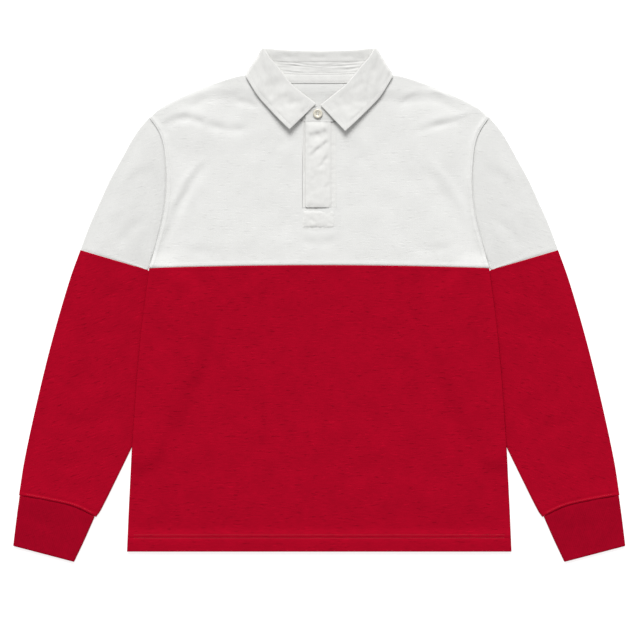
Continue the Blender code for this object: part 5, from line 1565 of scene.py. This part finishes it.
class SHIRT_OT_sleeves(bpy.types.Operator):
    """Sews the two sleeves, each from a white and a red block"""
    bl_idname = "shirt.sleeves"
    bl_label = "Sleeves"

    def execute(self, context):
        upper, lower = sleeve_plans()
        upper_at = end_shares(UPPER_REACH, SEAM_STEPS, SEAM_STEPS[:8], 3.4)
        lower_at = end_shares(LOWER_LENGTH, SEAM_STEPS[:8], FREE_STEPS, 3.6)
        for side, word in SIDES:
            obj, _ = tube("sleeve_upper_%s_cloth" % word, upper, upper_at, side,
                          white_jersey("sleeve"), sleeve_height, JERSEY / 2, sleeve_upper_relief,
                          fanned=True)
            finish_cloth(obj, "sleeve_upper_" + word, "heather_white_jersey")
            obj, seam = tube("sleeve_lower_%s_cloth" % word, lower, lower_at, side,
                             red_jersey(), sleeve_height, JERSEY / 2, sleeve_lower_relief)
            finish_cloth(obj, "sleeve_lower_" + word, "red_jersey",
                         "cuff_seam_%s_stitches" % word, [seam(-6)])
        return {"FINISHED"}


class SHIRT_OT_cuffs(bpy.types.Operator):
    """Adds the two ribbed cuffs"""
    bl_idname = "shirt.cuffs"
    bl_label = "Cuffs"

    def execute(self, context):
        at = end_shares(CUFF_LENGTH, FREE_STEPS, FREE_STEPS, 2.6)
        for side, word in SIDES:
            obj, _ = tube("cuff_%s_rib" % word, cuff_plan(), at, side, red_rib(), cuff_height,
                          RIB / 2, cuff_relief, 2.4, ends=(1.2 / CUFF_LENGTH, 1.4 / CUFF_LENGTH))
            finish_cloth(obj, "cuff_" + word, "red_rib")
        return {"FINISHED"}


class SHIRT_OT_collar(bpy.types.Operator):
    """Sews the collar's leaf and stand and the tape over the back neck seam"""
    bl_idname = "shirt.collar"
    bl_label = "Collar"

    def execute(self, context):
        right_stand, right_leaf = half_collar(+1)
        left_stand, left_leaf = half_collar(-1)
        make_stand(np.concatenate([stand_end(+1), right_stand, left_stand[-2::-1],
                                   stand_end(-1)[::-1]]))
        make_leaf(np.concatenate([right_leaf, left_leaf[-2::-1]]))
        make_tape()
        return {"FINISHED"}


class SHIRT_OT_placket(bpy.types.Operator):
    """Sews the placket's two bands and the stitched box at its foot"""
    bl_idname = "shirt.placket"
    bl_label = "Placket"

    def execute(self, context):
        make_over_band()
        make_under_band()
        make_box()
        return {"FINISHED"}


BUTTON_PROFILE = [  # distance from the middle, share of the height
    (0.9, 0.52), (1.9, 0.52), (2.8, 0.54), (3.5, 0.60), (4.0, 0.78), (4.5, 0.94), (5.1, 1.0),
    (5.7, 0.99), (6.2, 0.92), (6.6, 0.80), (6.85, 0.62), (6.9, 0.5), (6.8, 0.34), (6.4, 0.16),
    (5.6, 0.03), (4.8, 0.0), (1.2, 0.0)]
HOLE_AT, HOLE_RADIUS = 1.75, 0.75
BAR_AT = 1.24               # half of a bar's length, and its distance from the middle
BAR_RISE, BAR_SINK = 0.42, 0.2
BUTTON_YARN = 0.24          # half the thickness of the thread that holds the button


class SHIRT_OT_button(bpy.types.Operator):
    """Turns the button, drills its four holes and sews it on"""
    bl_idname = "shirt.button"
    bl_label = "Button"

    def execute(self, context):
        base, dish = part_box("button")[0][2] / MM, BUTTON_PROFILE[0][1] * BUTTON_HEIGHT
        turns = np.linspace(0, FULL_TURN, 48, endpoint=False)
        rings = [np.column_stack([r * np.cos(turns), r * np.sin(turns),
                                  np.full(len(turns), share * BUTTON_HEIGHT)])
                 for r, share in BUTTON_PROFILE]
        points = np.concatenate(rings + [[(0, 0, dish), (0, 0, 0)]]) + (*BUTTON_AT, base)
        top, bottom = len(points) - 2, len(points) - 1
        index = np.arange(top).reshape(len(rings), -1)
        beside = np.roll(index, -1, axis=1)
        faces = ring_walls(index).tolist()
        faces += [(top, a, b) for a, b in zip(index[0].tolist(), beside[0].tolist())]
        faces += [(a, bottom, b) for a, b in zip(index[-1].tolist(), beside[-1].tolist())]
        mesh = bpy.data.meshes.new("button_blank")
        mesh.from_pydata((points * MM).tolist(), [], faces)
        blank, cutters = link_object("button_blank", mesh), []
        for angle in np.radians((45, 135, 225, 315)):
            spot = (BUTTON_AT[0] + HOLE_AT * math.cos(angle),
                    BUTTON_AT[1] + HOLE_AT * math.sin(angle), base)
            bpy.ops.mesh.primitive_cylinder_add(vertices=16, radius=HOLE_RADIUS * MM,
                                                depth=12 * MM, location=[c * MM for c in spot])
            cutters.append(context.object)
            hole = blank.modifiers.new("hole", "BOOLEAN")
            hole.object, hole.solver = cutters[-1], "EXACT"
        drilled = bpy.data.meshes.new_from_object(
            blank.evaluated_get(context.evaluated_depsgraph_get()))
        for obj in (blank, *cutters):
            bpy.data.objects.remove(obj, do_unlink=True)
        drilled.materials.clear()
        drilled.materials.append(button_material())
        drilled.shade_smooth()
        drilled.set_sharp_from_angle(angle=math.radians(35))
        button = link_object("button_cream", drilled)
        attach(button, BODY)
        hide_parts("button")
        self.sew_on(base + dish)
        return {"FINISHED"}

    def sew_on(self, top):
        """Four turns of thread across the holes, in two bars."""
        t = np.linspace(-1, 1, 9)
        arch = top + BAR_RISE * np.sqrt(np.maximum(1 - t**4, 0)) - BAR_SINK
        rods = []
        for bar in (-1, 1):
            for strand in (-1, 1):
                y = BUTTON_AT[1] + BAR_AT * bar + BUTTON_YARN * strand
                rods.append([[(BUTTON_AT[0] + BAR_AT * a, y + BUTTON_YARN * math.cos(turn),
                               z + BUTTON_YARN * math.sin(turn)) for turn in THREAD_TURNS[:, 0]]
                             for a, z in zip(t, arch)])
        thread_object("button_thread", np.array(rods), "cream_button")


CAMERA_X, CAMERA_Y = 1.1, -21.9      # point of the floor in the middle of the picture
VIEW_WIDTH = 932.8                   # width of the floor in the picture
FLOOR_HALF, FLOOR_LOW = 3.0, -0.0004


class SHIRT_OT_stage(bpy.types.Operator):
    """Sets up the pale floor, the soft light and the camera straight above"""
    bl_idname = "shirt.stage"
    bl_label = "Studio"

    def execute(self, context):
        studio, scene = context.scene.shirt_studio, context.scene
        mesh = bpy.data.meshes.new("studio_floor")
        mesh.from_pydata([(x * FLOOR_HALF, y * FLOOR_HALF, FLOOR_LOW)
                          for x, y in ((-1, -1), (1, -1), (1, 1), (-1, 1))], [], [(0, 1, 2, 3)])
        mesh.materials.append(floor_material())
        link_object("studio_floor", mesh)
        scene.world = bpy.data.worlds.new("studio_sky")
        scene.world.use_nodes = True
        feed(scene.world.node_tree.nodes["Background"],
             {"Color": (1, 1, 1, 1), "Strength": studio.sky})
        lamp = bpy.data.lights.new("key_light", "SUN")
        lamp.energy = studio.sun
        lamp.angle = math.radians(32)
        key = link_object("key_light", lamp)
        key.rotation_euler = (math.radians(-49), math.radians(-5), 0)
        key.location = (0.3, 1.6, 2.0)
        lens = bpy.data.cameras.new("camera")
        lens.lens = lens.sensor_width * studio.height / (VIEW_WIDTH * MM)
        lens.clip_end = 100
        scene.camera = link_object("camera", lens)
        scene.camera.location = (CAMERA_X * MM, CAMERA_Y * MM, studio.height)
        scene.view_settings.view_transform = "Standard"
        return {"FINISHED"}


OPERATORS = (SHIRT_OT_stage, SHIRT_OT_body, SHIRT_OT_sleeves, SHIRT_OT_cuffs, SHIRT_OT_collar,
             SHIRT_OT_placket, SHIRT_OT_button)
SETTINGS = {"shirt_cloth": ShirtCloth, "shirt_sewing": ShirtSewing, "shirt_colours": ShirtColours,
            "shirt_studio": ShirtStudio}


class SHIRT_PT_panel(bpy.types.Panel):
    bl_idname = "SHIRT_PT_panel"
    bl_label = "Rugby Shirt"
    bl_space_type = "VIEW_3D"
    bl_region_type = "UI"
    bl_category = "Shirt"

    def draw(self, context):
        for group in SETTINGS:
            settings, box = getattr(context.scene, group), self.layout.box()
            box.label(text=group.partition("_")[2].title())
            for name in settings.__annotations__:
                box.prop(settings, name)
        for operator in OPERATORS:
            self.layout.operator(operator.bl_idname)


def register():
    for cls in (*SETTINGS.values(), *OPERATORS, SHIRT_PT_panel):
        bpy.utils.register_class(cls)
    for name, cls in SETTINGS.items():
        setattr(bpy.types.Scene, name, bpy.props.PointerProperty(type=cls))


def unregister():
    for name in SETTINGS:
        delattr(bpy.types.Scene, name)
    for cls in (SHIRT_PT_panel, *reversed(OPERATORS), *SETTINGS.values()):
        bpy.utils.unregister_class(cls)


def main():
    register()
    bpy.ops.shirt.stage()
    bpy.ops.shirt.body()
    bpy.ops.shirt.sleeves()
    bpy.ops.shirt.cuffs()
    bpy.ops.shirt.collar()
    bpy.ops.shirt.placket()
    bpy.ops.shirt.button()


if __name__ == "__main__":
    main()
